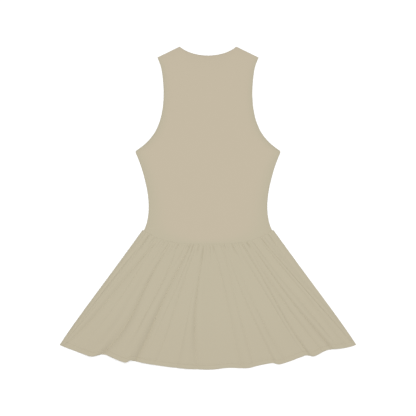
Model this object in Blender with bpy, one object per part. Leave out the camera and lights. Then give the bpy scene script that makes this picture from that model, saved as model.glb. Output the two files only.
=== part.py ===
"""Sleeveless drop-waist dress with a zip front, laid flat on a plane with its back up.

Metres, +Z up. The plane is Z = 0, the neck points to +Y, and the origin is at the middle of
the outline. The front panels lie on the plane. The back panels lie over them, close at the
seams and a few millimetres higher in between. The zip is in the middle of the front, so its
slider and its pull tab are on the underside.

Each cloth piece is a grid of points. Rows of the grid are stations down the dress, and its
columns are shares of the half width. The grid is placed on the cloth's lower face and
extruded up by the cloth's thickness.
"""

import math
from typing import NamedTuple

import bmesh
import bpy
import numpy as np

MM = 0.001

# Drops down the dress, from the point where the shoulder meets the neck
LENGTH = 827.6 * MM
BACK_NECK_DROP = 23.2 * MM
FRONT_NECK_DROP = 84 * MM
SHOULDER_DROP = 28 * MM
UNDERARM_DROP = 269 * MM
SEAM_SIDE_DROP = 471 * MM
SEAM_CENTRE_DROP = 506 * MM

# Half widths, from the centre line
NECK_HALF = 72 * MM
SHOULDER_HALF = 129.5 * MM
BODICE_SEAM_HALF = 164 * MM
SKIRT_SEAM_HALF = 168 * MM
HEM_HALF = 380 * MM

# Exponents of the curved edges: smaller necks are rounder, a larger seam is flatter in the middle
BACK_NECK_ROUNDNESS = 0.8
FRONT_NECK_ROUNDNESS = 0.55
SEAM_CURVE = 3.2
HEM_CURVE = 1.87
HEM_SIDE_LIFT = 81.5 * MM
HEM_CORNER_DROP = 18.3 * MM
HEM_CORNER_CURVE = 6
SKIRT_SIDE_BOW = 22 * MM
EASE_CURVE = 1.5
TOP_EASE = 150 * MM

# The cloth and how it lies
WALL = 1.2 * MM
STEEPEST_WALL = 2.0
SEAM_GAP = 0.4 * MM
LAYER_GAP = 0.3 * MM
LOFT = 5.2 * MM
HEM_LOFT = 1.5 * MM
LOFT_REACH = 18 * MM
FRONT_INSET = 0.8 * MM
FRONT_HEM_SHORTER = 3 * MM
FOLD_EDGE_REACH = 5 * MM

# Gathers at the waist seam
COLUMNS_PER_GATHER = 4
GATHER_PUFF = 0.9 * MM
GATHER_PUFF_REACH = 30 * MM
FRONT_GATHERS = 24
FRONT_GATHER_RISE = 0.9 * MM
FRONT_GATHER_REACH = 26 * MM

# The zip, and how far it holds the front up from the plane
ZIP_OPENING_HALF = 4.4 * MM
TAPE_INNER = 2.6 * MM
TAPE_OUTER = 14 * MM
TAPE_WALL = 1.0 * MM
TAPE_GAP = 0.4 * MM
CHAIN_HALF = 2.2 * MM
CHAIN_WALL = 1.6 * MM
ZIP_RAISE = 2.0 * MM
RAISE_FLAT_HALF = 14 * MM
RAISE_HALF = 60 * MM
RAISE_BELOW_SLIDER = 35 * MM
RAISE_FADE = 120 * MM

# Slider and pull tab
SLIDER_LENGTH = 9 * MM
SLIDER_WIDTH = 6.8 * MM
SLIDER_BELOW_NECK = 8 * MM
PLATE_WALL = 0.8 * MM
POST_WIDTH = 2.0 * MM
POST_LENGTH = 1.8 * MM
POST_INSET = 0.2 * MM
BRIDGE_WIDTH = 1.4 * MM
BRIDGE_LENGTH = 6.4 * MM
BRIDGE_WALL = 0.6 * MM
BRIDGE_FOOT = 0.8 * MM
BRIDGE_SPACE = 1.3 * MM
TAB_LENGTH = 24.4 * MM
TAB_WIDTH = 5.0 * MM
TAB_NECK_WIDTH = 3.8 * MM
TAB_NECK_LENGTH = 6.0 * MM
TAB_WALL = 0.8 * MM
TAB_HOLE_WIDTH = 2.0 * MM
TAB_HOLE_START = 0.4 * MM
TAB_HOLE_END = 3.8 * MM
PLATE_ROUNDING = 1.2 * MM
EDGE_ROUNDING = 0.2 * MM

SHOULDER_NECK_Y = LENGTH / 2
SLIDER_Y = SHOULDER_NECK_Y - FRONT_NECK_DROP - SLIDER_BELOW_NECK
CHAIN_TOP_Y = SLIDER_Y + SLIDER_LENGTH / 4
ZIP_BOTTOM_Y = SHOULDER_NECK_Y - SEAM_CENTRE_DROP + 0.5 * MM


class Section(NamedTuple):
    """Half width of the bodice at a drop below the shoulder's neck point, in millimetres."""

    drop: float
    half: float


ARMHOLE = (
    Section(28, 129.5), Section(56, 120.3), Section(92, 115), Section(123, 113.5),
    Section(160, 116.4), Section(195, 124.8), Section(225, 139.5), Section(250, 161.5),
    Section(269, 186.5),
)
SIDE_SEAM = (
    Section(269, 186.5), Section(300, 174), Section(335, 163.3), Section(372, 155.2),
    Section(405, 151.9), Section(436, 153.6), Section(458, 158.6), Section(471, 164),
)


class Gather(NamedTuple):
    """A valley between two puffs below the waist seam, in millimetres.

    It lies at a distance from the centre line along the seam, and fades over its reach.
    """

    at: float
    depth: float
    reach: float


BACK_GATHERS = (
    Gather(-160, 0.6, 45), Gather(-149, 0.8, 60), Gather(-138, 1.8, 28), Gather(-130, 0.9, 45),
    Gather(-120, 0.5, 30), Gather(-110, 1.3, 22), Gather(-97, 0.7, 60), Gather(-84, 0.7, 60),
    Gather(-74, 0.7, 30), Gather(-67, 0.6, 22), Gather(-59, 0.7, 40), Gather(-53, 1.0, 22),
    Gather(-46, 1.7, 15), Gather(-37, 1.6, 40), Gather(-30, 0.4, 15), Gather(-23, 1.6, 32),
    Gather(-11, 0.7, 60), Gather(-3.5, 0.5, 50), Gather(4, 0.6, 45), Gather(13, 0.9, 60),
    Gather(22, 0.4, 20), Gather(33, 0.7, 32), Gather(40, 1.6, 20), Gather(49, 0.7, 30),
    Gather(60, 1.1, 38), Gather(67, 0.5, 15), Gather(74, 2.2, 18), Gather(86, 1.0, 45),
    Gather(98, 1.9, 24), Gather(107, 0.6, 20), Gather(113, 0.7, 50), Gather(123, 0.5, 20),
    Gather(134, 1.4, 70), Gather(143, 0.5, 30), Gather(153, 1.0, 45), Gather(160, 0.9, 30),
)


class Fold(NamedTuple):
    """A fold that runs down the skirt.

    It lies at shares of the half width, and has rises and a width in millimetres. Both are
    given at the seam, a third and two thirds of the way down, and at the hem.
    """

    at: tuple
    rise: tuple
    width: float


BACK_FOLDS = (
    Fold((-0.887, -0.952, -0.968, -0.985), (0.6, 0.9, 1.0, 0.4), 5),
    Fold((-0.702, -0.857, -0.927, -0.975), (0.8, 1.0, 0.8, 0.3), 7),
    Fold((-0.841, -0.787, -0.827, -0.907), (0.4, 0.8, 0.7, 0.2), 9),
    Fold((-0.559, -0.633, -0.640, -0.720), (1.0, 3.0, 3.4, 5.0), 9),
    Fold((-0.452, -0.480, -0.560, -0.600), (0.8, 1.6, 0.7, 0.0), 8),
    Fold((-0.265, -0.386, -0.454, -0.495), (1.4, 2.0, 3.0, 4.4), 9),
    Fold((-0.210, -0.312, -0.385, -0.417), (0.5, 0.7, 0.9, 0.3), 8),
    Fold((-0.126, -0.259, -0.305, -0.330), (0.6, 0.7, 0.7, 0.0), 8),
    Fold((-0.055, -0.110, -0.186, -0.215), (0.0, 0.6, 1.2, 1.1), 12),
    Fold((-0.046, -0.108, -0.112, -0.038), (0.8, 2.0, 2.3, 0.9), 9),
    Fold((0.061, 0.164, 0.222, 0.265), (1.0, 1.3, 0.8, 0.8), 9),
    Fold((0.213, 0.258, 0.292, 0.340), (0.5, 1.0, 0.9, 0.5), 9),
    Fold((0.270, 0.322, 0.392, 0.458), (0.3, 0.7, 1.3, 3.0), 8),
    Fold((0.423, 0.537, 0.601, 0.640), (1.0, 0.8, 0.9, 0.6), 7),
    Fold((0.498, 0.598, 0.632, 0.685), (1.3, 1.4, 2.2, 4.0), 7),
    Fold((0.611, 0.714, 0.774, 0.847), (0.8, 1.9, 2.0, 4.0), 7),
    Fold((0.785, 0.887, 0.942, 0.990), (1.5, 1.7, 1.7, 0.8), 5),
    Fold((0.916, 0.960, 0.985, 1.000), (0.5, 0.5, 0.3, 0.0), 5),
)
FOLD_BACK_SHARE = 0.3
FOLD_BACK_WIDTH = 0.6


class Scallop(NamedTuple):
    """Where a fold lets the hem down, in millimetres from the centre line."""

    start: float
    deeper: float
    over: float
    fade: float


HEM_SCALLOPS = (
    Scallop(-257, 18.7, 48, 2000),
    Scallop(-197, 8.4, 15, 72),
    Scallop(8, -2.4, 40, 40),
    Scallop(63, 2.9, 40, 35),
    Scallop(161, 7.6, 24, 80),
    Scallop(247, 9.2, 26, 37),
    Scallop(276, 18.3, 105, 2000),
)

# Stations of the grids: millimetres down the bodice, and shares of the skirt's length
BODICE_LEVELS = (
    28, 40, 58, 80, 104, 130, 158, 184, 206, 226, 243, 257, 269,
    284, 304, 328, 354, 382, 410, 434, 454, 471,
)
BACK_SKIRT_STATIONS = (0, 0.022, 0.06, 0.12, 0.2, 0.31, 0.44, 0.58, 0.72, 0.86, 1)
FRONT_SKIRT_STATIONS = (0, 0.03, 0.09, 0.2, 0.42, 0.7, 1)
NECK_COLUMN = NECK_HALF / SHOULDER_HALF
HALF_COLUMNS = (0, 0.1, 0.2, 0.3, 0.4, 0.49, NECK_COLUMN, 0.65, 0.74, 0.83, 0.92, 1)

# Colours, as sRGB values of 0 to 255
CLOTH_COLOUR = (198, 187, 165)
SKIRT_COLOUR = (193, 186, 163)
TAPE_COLOUR = (186, 176, 152)
COIL_COLOUR = (176, 166, 142)
METAL_COLOUR = (196, 192, 184)


def smoothstep(value):
    """Goes smoothly from 0 to 1 as the value goes from 0 to 1."""
    share = np.clip(value, 0, 1)
    return share * share * (3 - 2 * share)


def curve_through(sections, drop):
    """Half width at a drop: cubic pieces through the sections, with a shared slope at each."""
    drops, halves = np.array(sections).T * MM
    slopes = np.gradient(halves, drops)
    piece = np.clip(np.searchsorted(drops, drop, side="right") - 1, 0, len(drops) - 2)
    span = drops[piece + 1] - drops[piece]
    t = np.clip((drop - drops[piece]) / span, 0, 1)
    start = (2 * t**3 - 3 * t**2 + 1) * halves[piece]
    end = (3 * t**2 - 2 * t**3) * halves[piece + 1]
    start_slope = (t**3 - 2 * t**2 + t) * span * slopes[piece]
    end_slope = (t**3 - t**2) * span * slopes[piece + 1]
    return start + end + start_slope + end_slope


def bodice_half(level):
    """Half width of the bodice: the armhole's curve, then the side seam's."""
    return np.where(
        level < UNDERARM_DROP, curve_through(ARMHOLE, level), curve_through(SIDE_SEAM, level)
    )


def top_edge(x, neck_drop, roundness):
    """Drop of the neck and the shoulder seam: a rounded scoop, then a straight slope."""
    across = np.clip(np.abs(x) / NECK_HALF, 0, 1)
    neck = neck_drop * (1 - across**2) ** roundness
    along = (np.abs(x) - NECK_HALF) / (SHOULDER_HALF - NECK_HALF)
    return neck + SHOULDER_DROP * np.clip(along, 0, 1)


def seam_edge(x):
    """Drop of the waist seam, which dips in the middle and rises to the side seams."""
    across = np.clip(np.abs(x) / BODICE_SEAM_HALF, 0, 1)
    dip = SEAM_CENTRE_DROP - SEAM_SIDE_DROP
    return SEAM_CENTRE_DROP - dip * across**SEAM_CURVE


def hem_arc(x):
    """Drop of the hem's plain arc, lowest in the middle."""
    return LENGTH - HEM_SIDE_LIFT * (np.abs(x) / HEM_HALF) ** HEM_CURVE


def front_hem_edge(x):
    """Drop of the front's hem: a little above the arc, and down to the corners at the sides."""
    across = np.abs(x) / HEM_HALF
    return hem_arc(x) - FRONT_HEM_SHORTER * (1 - across**2) + HEM_CORNER_DROP * across**HEM_CORNER_CURVE


def back_hem_edge(x):
    """Drop of the back's hem: the arc, let down by each fold that ends there."""
    drop = hem_arc(x)
    for scallop in HEM_SCALLOPS:
        outward = (x - scallop.start * MM) * math.copysign(1, scallop.start)
        let_down = smoothstep(outward / (scallop.over * MM))
        fading = smoothstep((outward - scallop.over * MM) / (scallop.fade * MM))
        drop = drop + scallop.deeper * MM * let_down * (1 - fading)
    return drop


def bodice_drop(x, level, neck_drop, roundness):
    """Drop of a grid row: level across the middle, bent to the top edge and to the seam."""
    top_ease = np.clip(1 - (level - SHOULDER_DROP) / TOP_EASE, 0, 1) ** EASE_CURVE
    above_seam = (level - UNDERARM_DROP) / (SEAM_SIDE_DROP - UNDERARM_DROP)
    seam_ease = np.clip(above_seam, 0, 1) ** EASE_CURVE
    seam_x = x * BODICE_SEAM_HALF / bodice_half(level)
    to_top = top_edge(x, neck_drop, roundness) - SHOULDER_DROP
    to_seam = seam_edge(seam_x) - SEAM_SIDE_DROP
    return level + top_ease * to_top + seam_ease * to_seam


def zip_raise(x, y):
    """How far the slider holds the front up: flat near the zip, fading outwards and down."""
    sideways = (np.abs(x) - RAISE_FLAT_HALF) / (RAISE_HALF - RAISE_FLAT_HALF)
    downwards = (SLIDER_Y - RAISE_BELOW_SLIDER - y) / RAISE_FADE
    return ZIP_RAISE * (1 - smoothstep(sideways)) * (1 - smoothstep(downwards))


def through_thirds(values, share):
    """The cubic that has the four values at shares of 0, one third, two thirds and 1."""
    stations = (0, 1 / 3, 2 / 3, 1)
    total = 0
    for station, value in zip(stations, values):
        for other in stations:
            if other != station:
                value = value * (share - other) / (station - other)
        total = total + value
    return total


def fold_height(folds, across, share, half):
    """Height of all folds: each rises steeply on its outer side and dips a little inside it."""
    height = np.zeros_like(across)
    for fold in folds:
        rise = np.maximum(through_thirds(fold.rise, share), 0) * MM
        outward = (across - through_thirds(fold.at, share)) * half * math.copysign(1, fold.at[1])
        crest = np.clip(outward / (fold.width * MM), 0, None)
        trough = np.clip(-outward / (fold.width * FOLD_BACK_WIDTH * MM), 0, None)
        height += rise * crest * np.exp(1 - crest)
        height -= rise * FOLD_BACK_SHARE * trough * np.exp(1 - trough)
    return height


def wall_rise(x, lower):
    """Height of the wall above its lower face, so that steep cloth keeps its thickness."""
    slope = np.gradient(lower, axis=1) / np.gradient(x, axis=1)
    return WALL * np.minimum(np.sqrt(1 + slope**2), STEEPEST_WALL)


def material(name, colour, roughness, metallic=0.0):
    """A plain surface of one colour, given as sRGB values of 0 to 255."""
    surface = bpy.data.materials.new(name)
    surface.use_nodes = True
    linear = [((value / 255 + 0.055) / 1.055) ** 2.4 for value in colour]
    shader = surface.node_tree.nodes["Principled BSDF"]
    shader.inputs["Base Color"].default_value = (*linear, 1)
    shader.inputs["Roughness"].default_value = roughness
    shader.inputs["Metallic"].default_value = metallic
    return surface


def add_object(name, shell, collection, surface=None):
    """Put a finished mesh into the scene under its piece's name."""
    mesh = bpy.data.meshes.new(name)
    shell.to_mesh(mesh)
    shell.free()
    piece = bpy.data.objects.new(name, mesh)
    collection.objects.link(piece)
    if surface:
        mesh.materials.append(surface)
    return piece


def cloth_wall(name, x, y, lower, rise, collection, surface):
    """A wall of cloth: a grid bent to its lower face and extruded up by the rise."""
    rows, columns = x.shape
    shell = bmesh.new()
    bmesh.ops.create_grid(shell, x_segments=columns - 1, y_segments=rows - 1, size=1)
    thickness = shell.verts.layers.float.new("thickness")
    for vert in shell.verts:
        place = round((1 + vert.co.y) / 2 * (rows - 1)), round((1 + vert.co.x) / 2 * (columns - 1))
        vert[thickness] = rise[place]
        vert.co = x[place], y[place], lower[place]
    extruded = bmesh.ops.extrude_face_region(shell, geom=shell.faces[:])
    for element in extruded["geom"]:
        if isinstance(element, bmesh.types.BMVert):
            element.co.z += element[thickness]
    bmesh.ops.recalc_face_normals(shell, faces=shell.faces)
    piece = add_object(name, shell, collection, surface)
    piece.data.shade_smooth()
    piece.data.set_sharp_from_angle(angle=math.radians(50))
    return piece


def both_halves(shares):
    """The shares of one half and of its mirror image, in order."""
    return np.array([-share for share in shares[:0:-1]] + list(shares))


def back_bodice(collection, surface):
    """The back bodice, lifted from the front except along its neck, shoulders and sides."""
    level, across = np.meshgrid(np.array(BODICE_LEVELS) * MM, both_halves(HALF_COLUMNS), indexing="ij")
    half = bodice_half(level)
    x = across * half
    drop = bodice_drop(x, level, BACK_NECK_DROP, BACK_NECK_ROUNDNESS)
    from_side = half - np.abs(x)
    from_top = drop - top_edge(x, BACK_NECK_DROP, BACK_NECK_ROUNDNESS)
    lift = (1 - np.exp(-from_side / LOFT_REACH)) * (1 - np.exp(-from_top / LOFT_REACH))
    lower = WALL + LAYER_GAP + LOFT * lift
    cloth_wall(
        "back_bodice", x, SHOULDER_NECK_Y - drop, lower, wall_rise(x, lower), collection, surface
    )


def front_bodice(name, side, collection, surface):
    """One front bodice panel, from the zip to the side seam. Side is 1 at +X and -1 at -X."""
    level, across = np.meshgrid(np.array(BODICE_LEVELS) * MM, HALF_COLUMNS, indexing="ij")
    x = ZIP_OPENING_HALF + across * (bodice_half(level) - FRONT_INSET - ZIP_OPENING_HALF)
    drop = bodice_drop(x, level, FRONT_NECK_DROP, FRONT_NECK_ROUNDNESS)
    drop += FRONT_INSET * (1 - smoothstep((level - SHOULDER_DROP) / TOP_EASE))
    y = SHOULDER_NECK_Y - drop
    lower = zip_raise(x, y)
    order = slice(None, None, side)
    cloth_wall(
        name, side * x[:, order], y[:, order], lower[:, order], np.full_like(x, WALL),
        collection, surface,
    )
    return y[:, 0]


def skirt_grid(columns, stations, hem_edge, inset):
    """Places of a skirt panel's grid, and the half width and length down at each point."""
    share, across = np.meshgrid(stations, columns, indexing="ij")
    half = SKIRT_SEAM_HALF - inset + (HEM_HALF - SKIRT_SEAM_HALF) * share
    half = half + SKIRT_SIDE_BOW * share**3 * (1 - share)
    x = across * half
    top = seam_edge(across * (SKIRT_SEAM_HALF - inset)) + SEAM_GAP
    bottom = hem_edge(across * HEM_HALF) - inset
    length = (bottom - top) * share
    return share, across, half, x, top + length, length


def gather_height(turns, length):
    """Height of the gathers: puffs that fade quickly, with a valley at each whole turn."""
    numbers = np.arange(len(BACK_GATHERS) + 2)
    depths = [0, *(gather.depth * MM for gather in BACK_GATHERS), 0]
    reaches = [gather.reach * MM for gather in (BACK_GATHERS[0], *BACK_GATHERS, BACK_GATHERS[-1])]
    valley = 0.5 + 0.5 * np.cos(math.tau * turns)
    depth = np.interp(turns, numbers, depths) * np.exp(-length / np.interp(turns, numbers, reaches))
    return GATHER_PUFF * np.exp(-length / GATHER_PUFF_REACH) - depth * valley


def skirt_back(collection, surface):
    """The back skirt: gathers at the seam, and loose folds from there to the hem."""
    valleys = [-1, *(gather.at * MM / SKIRT_SEAM_HALF for gather in BACK_GATHERS), 1]
    turns = np.linspace(0, len(valleys) - 1, (len(valleys) - 1) * COLUMNS_PER_GATHER + 1)
    columns = np.interp(turns, range(len(valleys)), valleys)
    share, across, half, x, drop, length = skirt_grid(
        columns, BACK_SKIRT_STATIONS, back_hem_edge, 0
    )
    folds = fold_height(BACK_FOLDS, across, share, half)
    from_side = half - np.abs(x)
    loft = LOFT + (HEM_LOFT - LOFT) * share**0.8
    lower = WALL + LAYER_GAP + loft * (1 - np.exp(-from_side / LOFT_REACH))
    relief = gather_height(turns, length) + folds
    lower += relief * (1 - np.exp(-from_side / FOLD_EDGE_REACH))
    lower = np.maximum(lower, WALL + front_skirt_relief(across, length, from_side) + LAYER_GAP)
    cloth_wall(
        "skirt_back", x, SHOULDER_NECK_Y - drop, lower, wall_rise(x, lower), collection, surface
    )


def front_skirt_relief(across, length, from_side):
    """How far the front's gathers stand up from the plane that the front lies on."""
    wave = 0.5 - 0.5 * np.cos(math.tau * across * FRONT_GATHERS / 2)
    fade = np.exp(-length / FRONT_GATHER_REACH) * (1 - np.exp(-from_side / LOFT_REACH))
    return FRONT_GATHER_RISE * wave * fade


def skirt_front(collection, surface):
    """The front skirt, flat on the plane but for the gathers under its seam."""
    columns = np.linspace(-1, 1, FRONT_GATHERS * COLUMNS_PER_GATHER + 1)
    _, across, half, x, drop, length = skirt_grid(
        columns, FRONT_SKIRT_STATIONS, front_hem_edge, FRONT_INSET
    )
    lower = front_skirt_relief(across, length, half - np.abs(x))
    cloth_wall(
        "skirt_front", x, SHOULDER_NECK_Y - drop, lower, np.full_like(x, WALL), collection, surface
    )


def zip_stations(edge_y, top_y):
    """Places down the zip, where the front panels' edges have theirs, so that both bend alike."""
    between = edge_y[(edge_y < top_y) & (edge_y > ZIP_BOTTOM_Y)]
    return np.concatenate(([top_y], between, [ZIP_BOTTOM_Y]))


def zip_tape(name, side, edge_y, collection, surface):
    """One woven tape on the inner face of a front panel's edge."""
    stations = zip_stations(edge_y, edge_y[0] - 0.5 * MM)
    y, x = np.meshgrid(stations, np.array([TAPE_INNER, ZIP_OPENING_HALF, TAPE_OUTER]), indexing="ij")
    lower = zip_raise(x, y) + WALL + TAPE_GAP
    order = slice(None, None, side)
    cloth_wall(
        name, side * x[:, order], y, lower, np.full_like(x, TAPE_WALL), collection, surface
    )


def zip_chain(edge_y, collection, surface):
    """The closed coil between the tapes, from below the slider's post down to the seam."""
    stations = zip_stations(edge_y, CHAIN_TOP_Y)
    y, x = np.meshgrid(stations, np.array([-CHAIN_HALF, 0, CHAIN_HALF]), indexing="ij")
    middle = WALL + TAPE_GAP + TAPE_WALL / 2
    lower = zip_raise(x, y) + middle - CHAIN_WALL / 2
    cloth_wall("zip_chain", x, y, lower, np.full_like(x, CHAIN_WALL), collection, surface)


def block(name, size, centre, collection, rounding=0.0):
    """A box with its upright edges rounded, for the hard pieces of the zip."""
    shell = bmesh.new()
    bmesh.ops.create_cube(shell, size=1)
    bmesh.ops.scale(shell, vec=size, verts=shell.verts)
    bmesh.ops.translate(shell, vec=centre, verts=shell.verts)
    if rounding:
        upright = [
            edge for edge in shell.edges if abs(edge.verts[0].co.z - edge.verts[1].co.z) > size[2] / 2
        ]
        bmesh.ops.bevel(shell, geom=upright, offset=rounding, segments=3, affect="EDGES", profile=0.5)
    return add_object(name, shell, collection)


def combine(piece, other, operation):
    """Join or cut a hard piece with a helper, which is kept out of sight."""
    other.hide_render = True
    other.display_type = "WIRE"
    boolean = piece.modifiers.new(other.name, "BOOLEAN")
    boolean.operation = operation
    boolean.object = other


def slider_heights():
    """Heights of the slider's lower plate, upper plate, strap and tab pivot above the plane."""
    chain_bottom = ZIP_RAISE + WALL + TAPE_GAP + TAPE_WALL / 2 - CHAIN_WALL / 2
    lower_plate = chain_bottom - LAYER_GAP - PLATE_WALL
    upper_plate = chain_bottom + CHAIN_WALL + LAYER_GAP
    strap = lower_plate - BRIDGE_SPACE - BRIDGE_WALL
    return lower_plate, upper_plate, strap, lower_plate - BRIDGE_SPACE / 2


def zip_slider(collection, helpers, surface):
    """The slider: two plates joined by a post, and a bridge on the outer side for the tab."""
    lower_plate, upper_plate, strap, _ = slider_heights()
    plate = (SLIDER_WIDTH, SLIDER_LENGTH, PLATE_WALL)
    slider = block(
        "zip_slider", plate, (0, SLIDER_Y, lower_plate + PLATE_WALL / 2), collection, PLATE_ROUNDING
    )
    slider.data.materials.append(surface)
    plates_apart = upper_plate - lower_plate
    post_y = SLIDER_Y + (SLIDER_LENGTH - POST_LENGTH) / 2 - POST_INSET
    post = (POST_WIDTH, POST_LENGTH, plates_apart)
    band = (BRIDGE_WIDTH, BRIDGE_LENGTH, BRIDGE_WALL)
    foot = (BRIDGE_WIDTH, BRIDGE_FOOT, lower_plate - strap + PLATE_WALL / 2)
    foot_y = (BRIDGE_LENGTH - BRIDGE_FOOT) / 2
    foot_z = strap + foot[2] / 2
    parts = (
        ("slider_upper_plate", plate, SLIDER_Y, upper_plate + PLATE_WALL / 2, PLATE_ROUNDING),
        ("slider_post", post, post_y, lower_plate + (plates_apart + PLATE_WALL) / 2, 0),
        ("slider_strap", band, SLIDER_Y, strap + BRIDGE_WALL / 2, 0),
        ("slider_neck_foot", foot, SLIDER_Y + foot_y, foot_z, 0),
        ("slider_hem_foot", foot, SLIDER_Y - foot_y, foot_z, 0),
    )
    for name, size, y, z, rounding in parts:
        combine(slider, block(name, size, (0, y, z), helpers, rounding), "UNION")


def zip_pull_tab(collection, helpers, surface):
    """The pull tab: a plate with a slot around the bridge, turning on its narrow end."""
    pivot = (0, SLIDER_Y, slider_heights()[3])
    wide_length = TAB_LENGTH - TAB_NECK_LENGTH + TAB_NECK_WIDTH / 4
    tab = block(
        "zip_pull_tab", (TAB_NECK_WIDTH, TAB_NECK_LENGTH, TAB_WALL),
        (0, TAB_HOLE_START - TAB_NECK_LENGTH / 2, 0), collection, EDGE_ROUNDING,
    )
    tab.data.materials.append(surface)
    body = block(
        "tab_body", (TAB_WIDTH, wide_length, TAB_WALL),
        (0, TAB_HOLE_START - TAB_LENGTH + wide_length / 2, 0), helpers, PLATE_ROUNDING,
    )
    hole = block(
        "tab_hole", (TAB_HOLE_WIDTH, TAB_HOLE_END - TAB_HOLE_START, 2 * TAB_WALL),
        (0, -(TAB_HOLE_START + TAB_HOLE_END) / 2, 0), helpers,
    )
    combine(tab, body, "UNION")
    combine(tab, hole, "DIFFERENCE")
    for piece in (tab, body, hole):
        piece.location = pivot


def new_collection(name):
    """A collection in the scene, for the dress or for its hidden helpers."""
    collection = bpy.data.collections.new(name)
    bpy.context.scene.collection.children.link(collection)
    return collection


def main():
    """Build the dress piece by piece."""
    for leftover in list(bpy.data.objects):
        bpy.data.objects.remove(leftover)
    dress = new_collection("zip_front_dress")
    helpers = new_collection("helpers")
    jersey = material("bodice_jersey", CLOTH_COLOUR, 0.85)
    gathered_jersey = material("skirt_jersey", SKIRT_COLOUR, 0.85)
    tape = material("zip_tape", TAPE_COLOUR, 0.8)
    coil = material("zip_coil", COIL_COLOUR, 0.45)
    metal = material("zip_metal", METAL_COLOUR, 0.35, 1.0)

    back_bodice(dress, jersey)
    edge_y = front_bodice("front_bodice_right", 1, dress, jersey)
    front_bodice("front_bodice_left", -1, dress, jersey)
    skirt_back(dress, gathered_jersey)
    skirt_front(dress, gathered_jersey)
    zip_tape("zip_tape_right", 1, edge_y, dress, tape)
    zip_tape("zip_tape_left", -1, edge_y, dress, tape)
    zip_chain(edge_y, dress, coil)
    zip_slider(dress, helpers, metal)
    zip_pull_tab(dress, helpers, metal)


main()
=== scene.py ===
"""Looks of a sleeveless drop-waist dress with a zip front, laid flat with its back up.

Metres, +Z up, neck to +Y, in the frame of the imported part. Every cloth panel is a thin closed
shell on the form of the solid that it replaces, with the gathers, folds and creases that the
cloth really has. The zip is in the middle of the front, which lies face down.
"""

import logging
import math
from dataclasses import dataclass
from enum import Enum
from typing import NamedTuple, Sequence, Union

import bpy
import numpy as np
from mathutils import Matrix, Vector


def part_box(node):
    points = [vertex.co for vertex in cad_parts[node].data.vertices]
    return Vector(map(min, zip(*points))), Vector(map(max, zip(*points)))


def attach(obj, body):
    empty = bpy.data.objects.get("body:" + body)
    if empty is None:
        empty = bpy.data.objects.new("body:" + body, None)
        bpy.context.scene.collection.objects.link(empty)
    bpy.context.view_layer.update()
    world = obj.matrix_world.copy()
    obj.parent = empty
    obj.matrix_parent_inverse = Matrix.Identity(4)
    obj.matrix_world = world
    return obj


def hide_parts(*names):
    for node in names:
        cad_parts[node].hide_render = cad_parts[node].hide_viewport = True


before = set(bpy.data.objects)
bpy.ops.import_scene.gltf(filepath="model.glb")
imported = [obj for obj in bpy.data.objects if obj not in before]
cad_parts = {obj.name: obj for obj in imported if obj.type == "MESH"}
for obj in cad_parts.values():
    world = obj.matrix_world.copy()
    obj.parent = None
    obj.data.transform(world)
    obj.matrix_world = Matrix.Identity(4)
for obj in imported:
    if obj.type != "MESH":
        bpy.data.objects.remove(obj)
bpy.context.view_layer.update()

MM = 0.001
TAU = math.tau
GRAIN = "grain"
PAINTED_SHADE = "painted_shade"
LOG = logging.getLogger("dress")

Array = np.ndarray
Number = Union[float, "Wire"]


class Body(Enum):
    """The bodies that a piece can ride on."""

    DRESS = "dress"
    PULL_TAB = "pull_tab"


class Ends(Enum):
    """How a stack of rings ends: with a flat cap at each end, or joined to its own start."""

    CAPPED = "capped"
    JOINED = "joined"


class Side(Enum):
    """A side of the centre line, seen from above: +X is the wearer's right."""

    RIGHT = 1
    LEFT = -1


class Hem(Enum):
    """The two hems of the skirt."""

    FRONT = "front"
    BACK = "back"


class Srgb(NamedTuple):
    """A colour as three values of 0 to 255, as a screen shows it."""

    red: float
    green: float
    blue: float

    def linear(self, share: float = 1.0) -> tuple[float, float, float, float]:
        """The colour as linear light, by the power part of the sRGB curve, times a share.

        Args:
            share: How much of the colour's light is kept.

        Returns:
            Red, green, blue and alpha.
        """
        values = [share * ((value / 255 + 0.055) / 1.055) ** 2.4 for value in self]
        return values[0], values[1], values[2], 1.0


# Shapes of the cut


class Section(NamedTuple):
    """Half width of the bodice at a drop below the shoulder's neck point, in millimetres."""

    drop: float
    half: float


class Gather(NamedTuple):
    """A valley between two puffs under the waist seam, in millimetres."""

    at: float
    depth: float
    reach: float


class Fold(NamedTuple):
    """A fold down the skirt: shares of the half width, then depths and reaches in millimetres.

    Each row has its values at the seam, at one and two thirds of the way, and at the hem.
    """

    at: tuple[float, float, float, float]
    depth: tuple[float, float, float, float]
    reach: tuple[float, float, float, float]


class Crease(NamedTuple):
    """A fine ridge (or a trough, with a height below 0) between two points of a panel.

    The points are shares of the half width and of the length down. In its middle it bows by a
    share of the half width, or of the length where it runs across. Height and width are in
    millimetres.
    """

    start_across: float
    start_down: float
    end_across: float
    end_down: float
    bow: float
    height: float
    width: float


class Scallop(NamedTuple):
    """Where a fold lets the hem down, or lifts it with a deeper below 0, in millimetres.

    It starts at a place across the dress, comes to its full depth over a stretch outwards, and
    fades over a further stretch.
    """

    start: float
    deeper: float
    over: float
    fade: float


# Shares of the way down the skirt that a fold's four values belong to
THIRDS = (0.0, 1 / 3, 2 / 3, 1.0)


def smoothstep(value: Array) -> Array:
    """3t^2 - 2t^3 of the value held between 0 and 1."""
    share = np.clip(value, 0, 1)
    return share * share * (3 - 2 * share)


def bump_line(distance: Array, width: float) -> Array:
    """A soft ridge of height 1: e to the power of minus the square of distance over width."""
    return np.exp(-((distance / width) ** 2))


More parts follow.
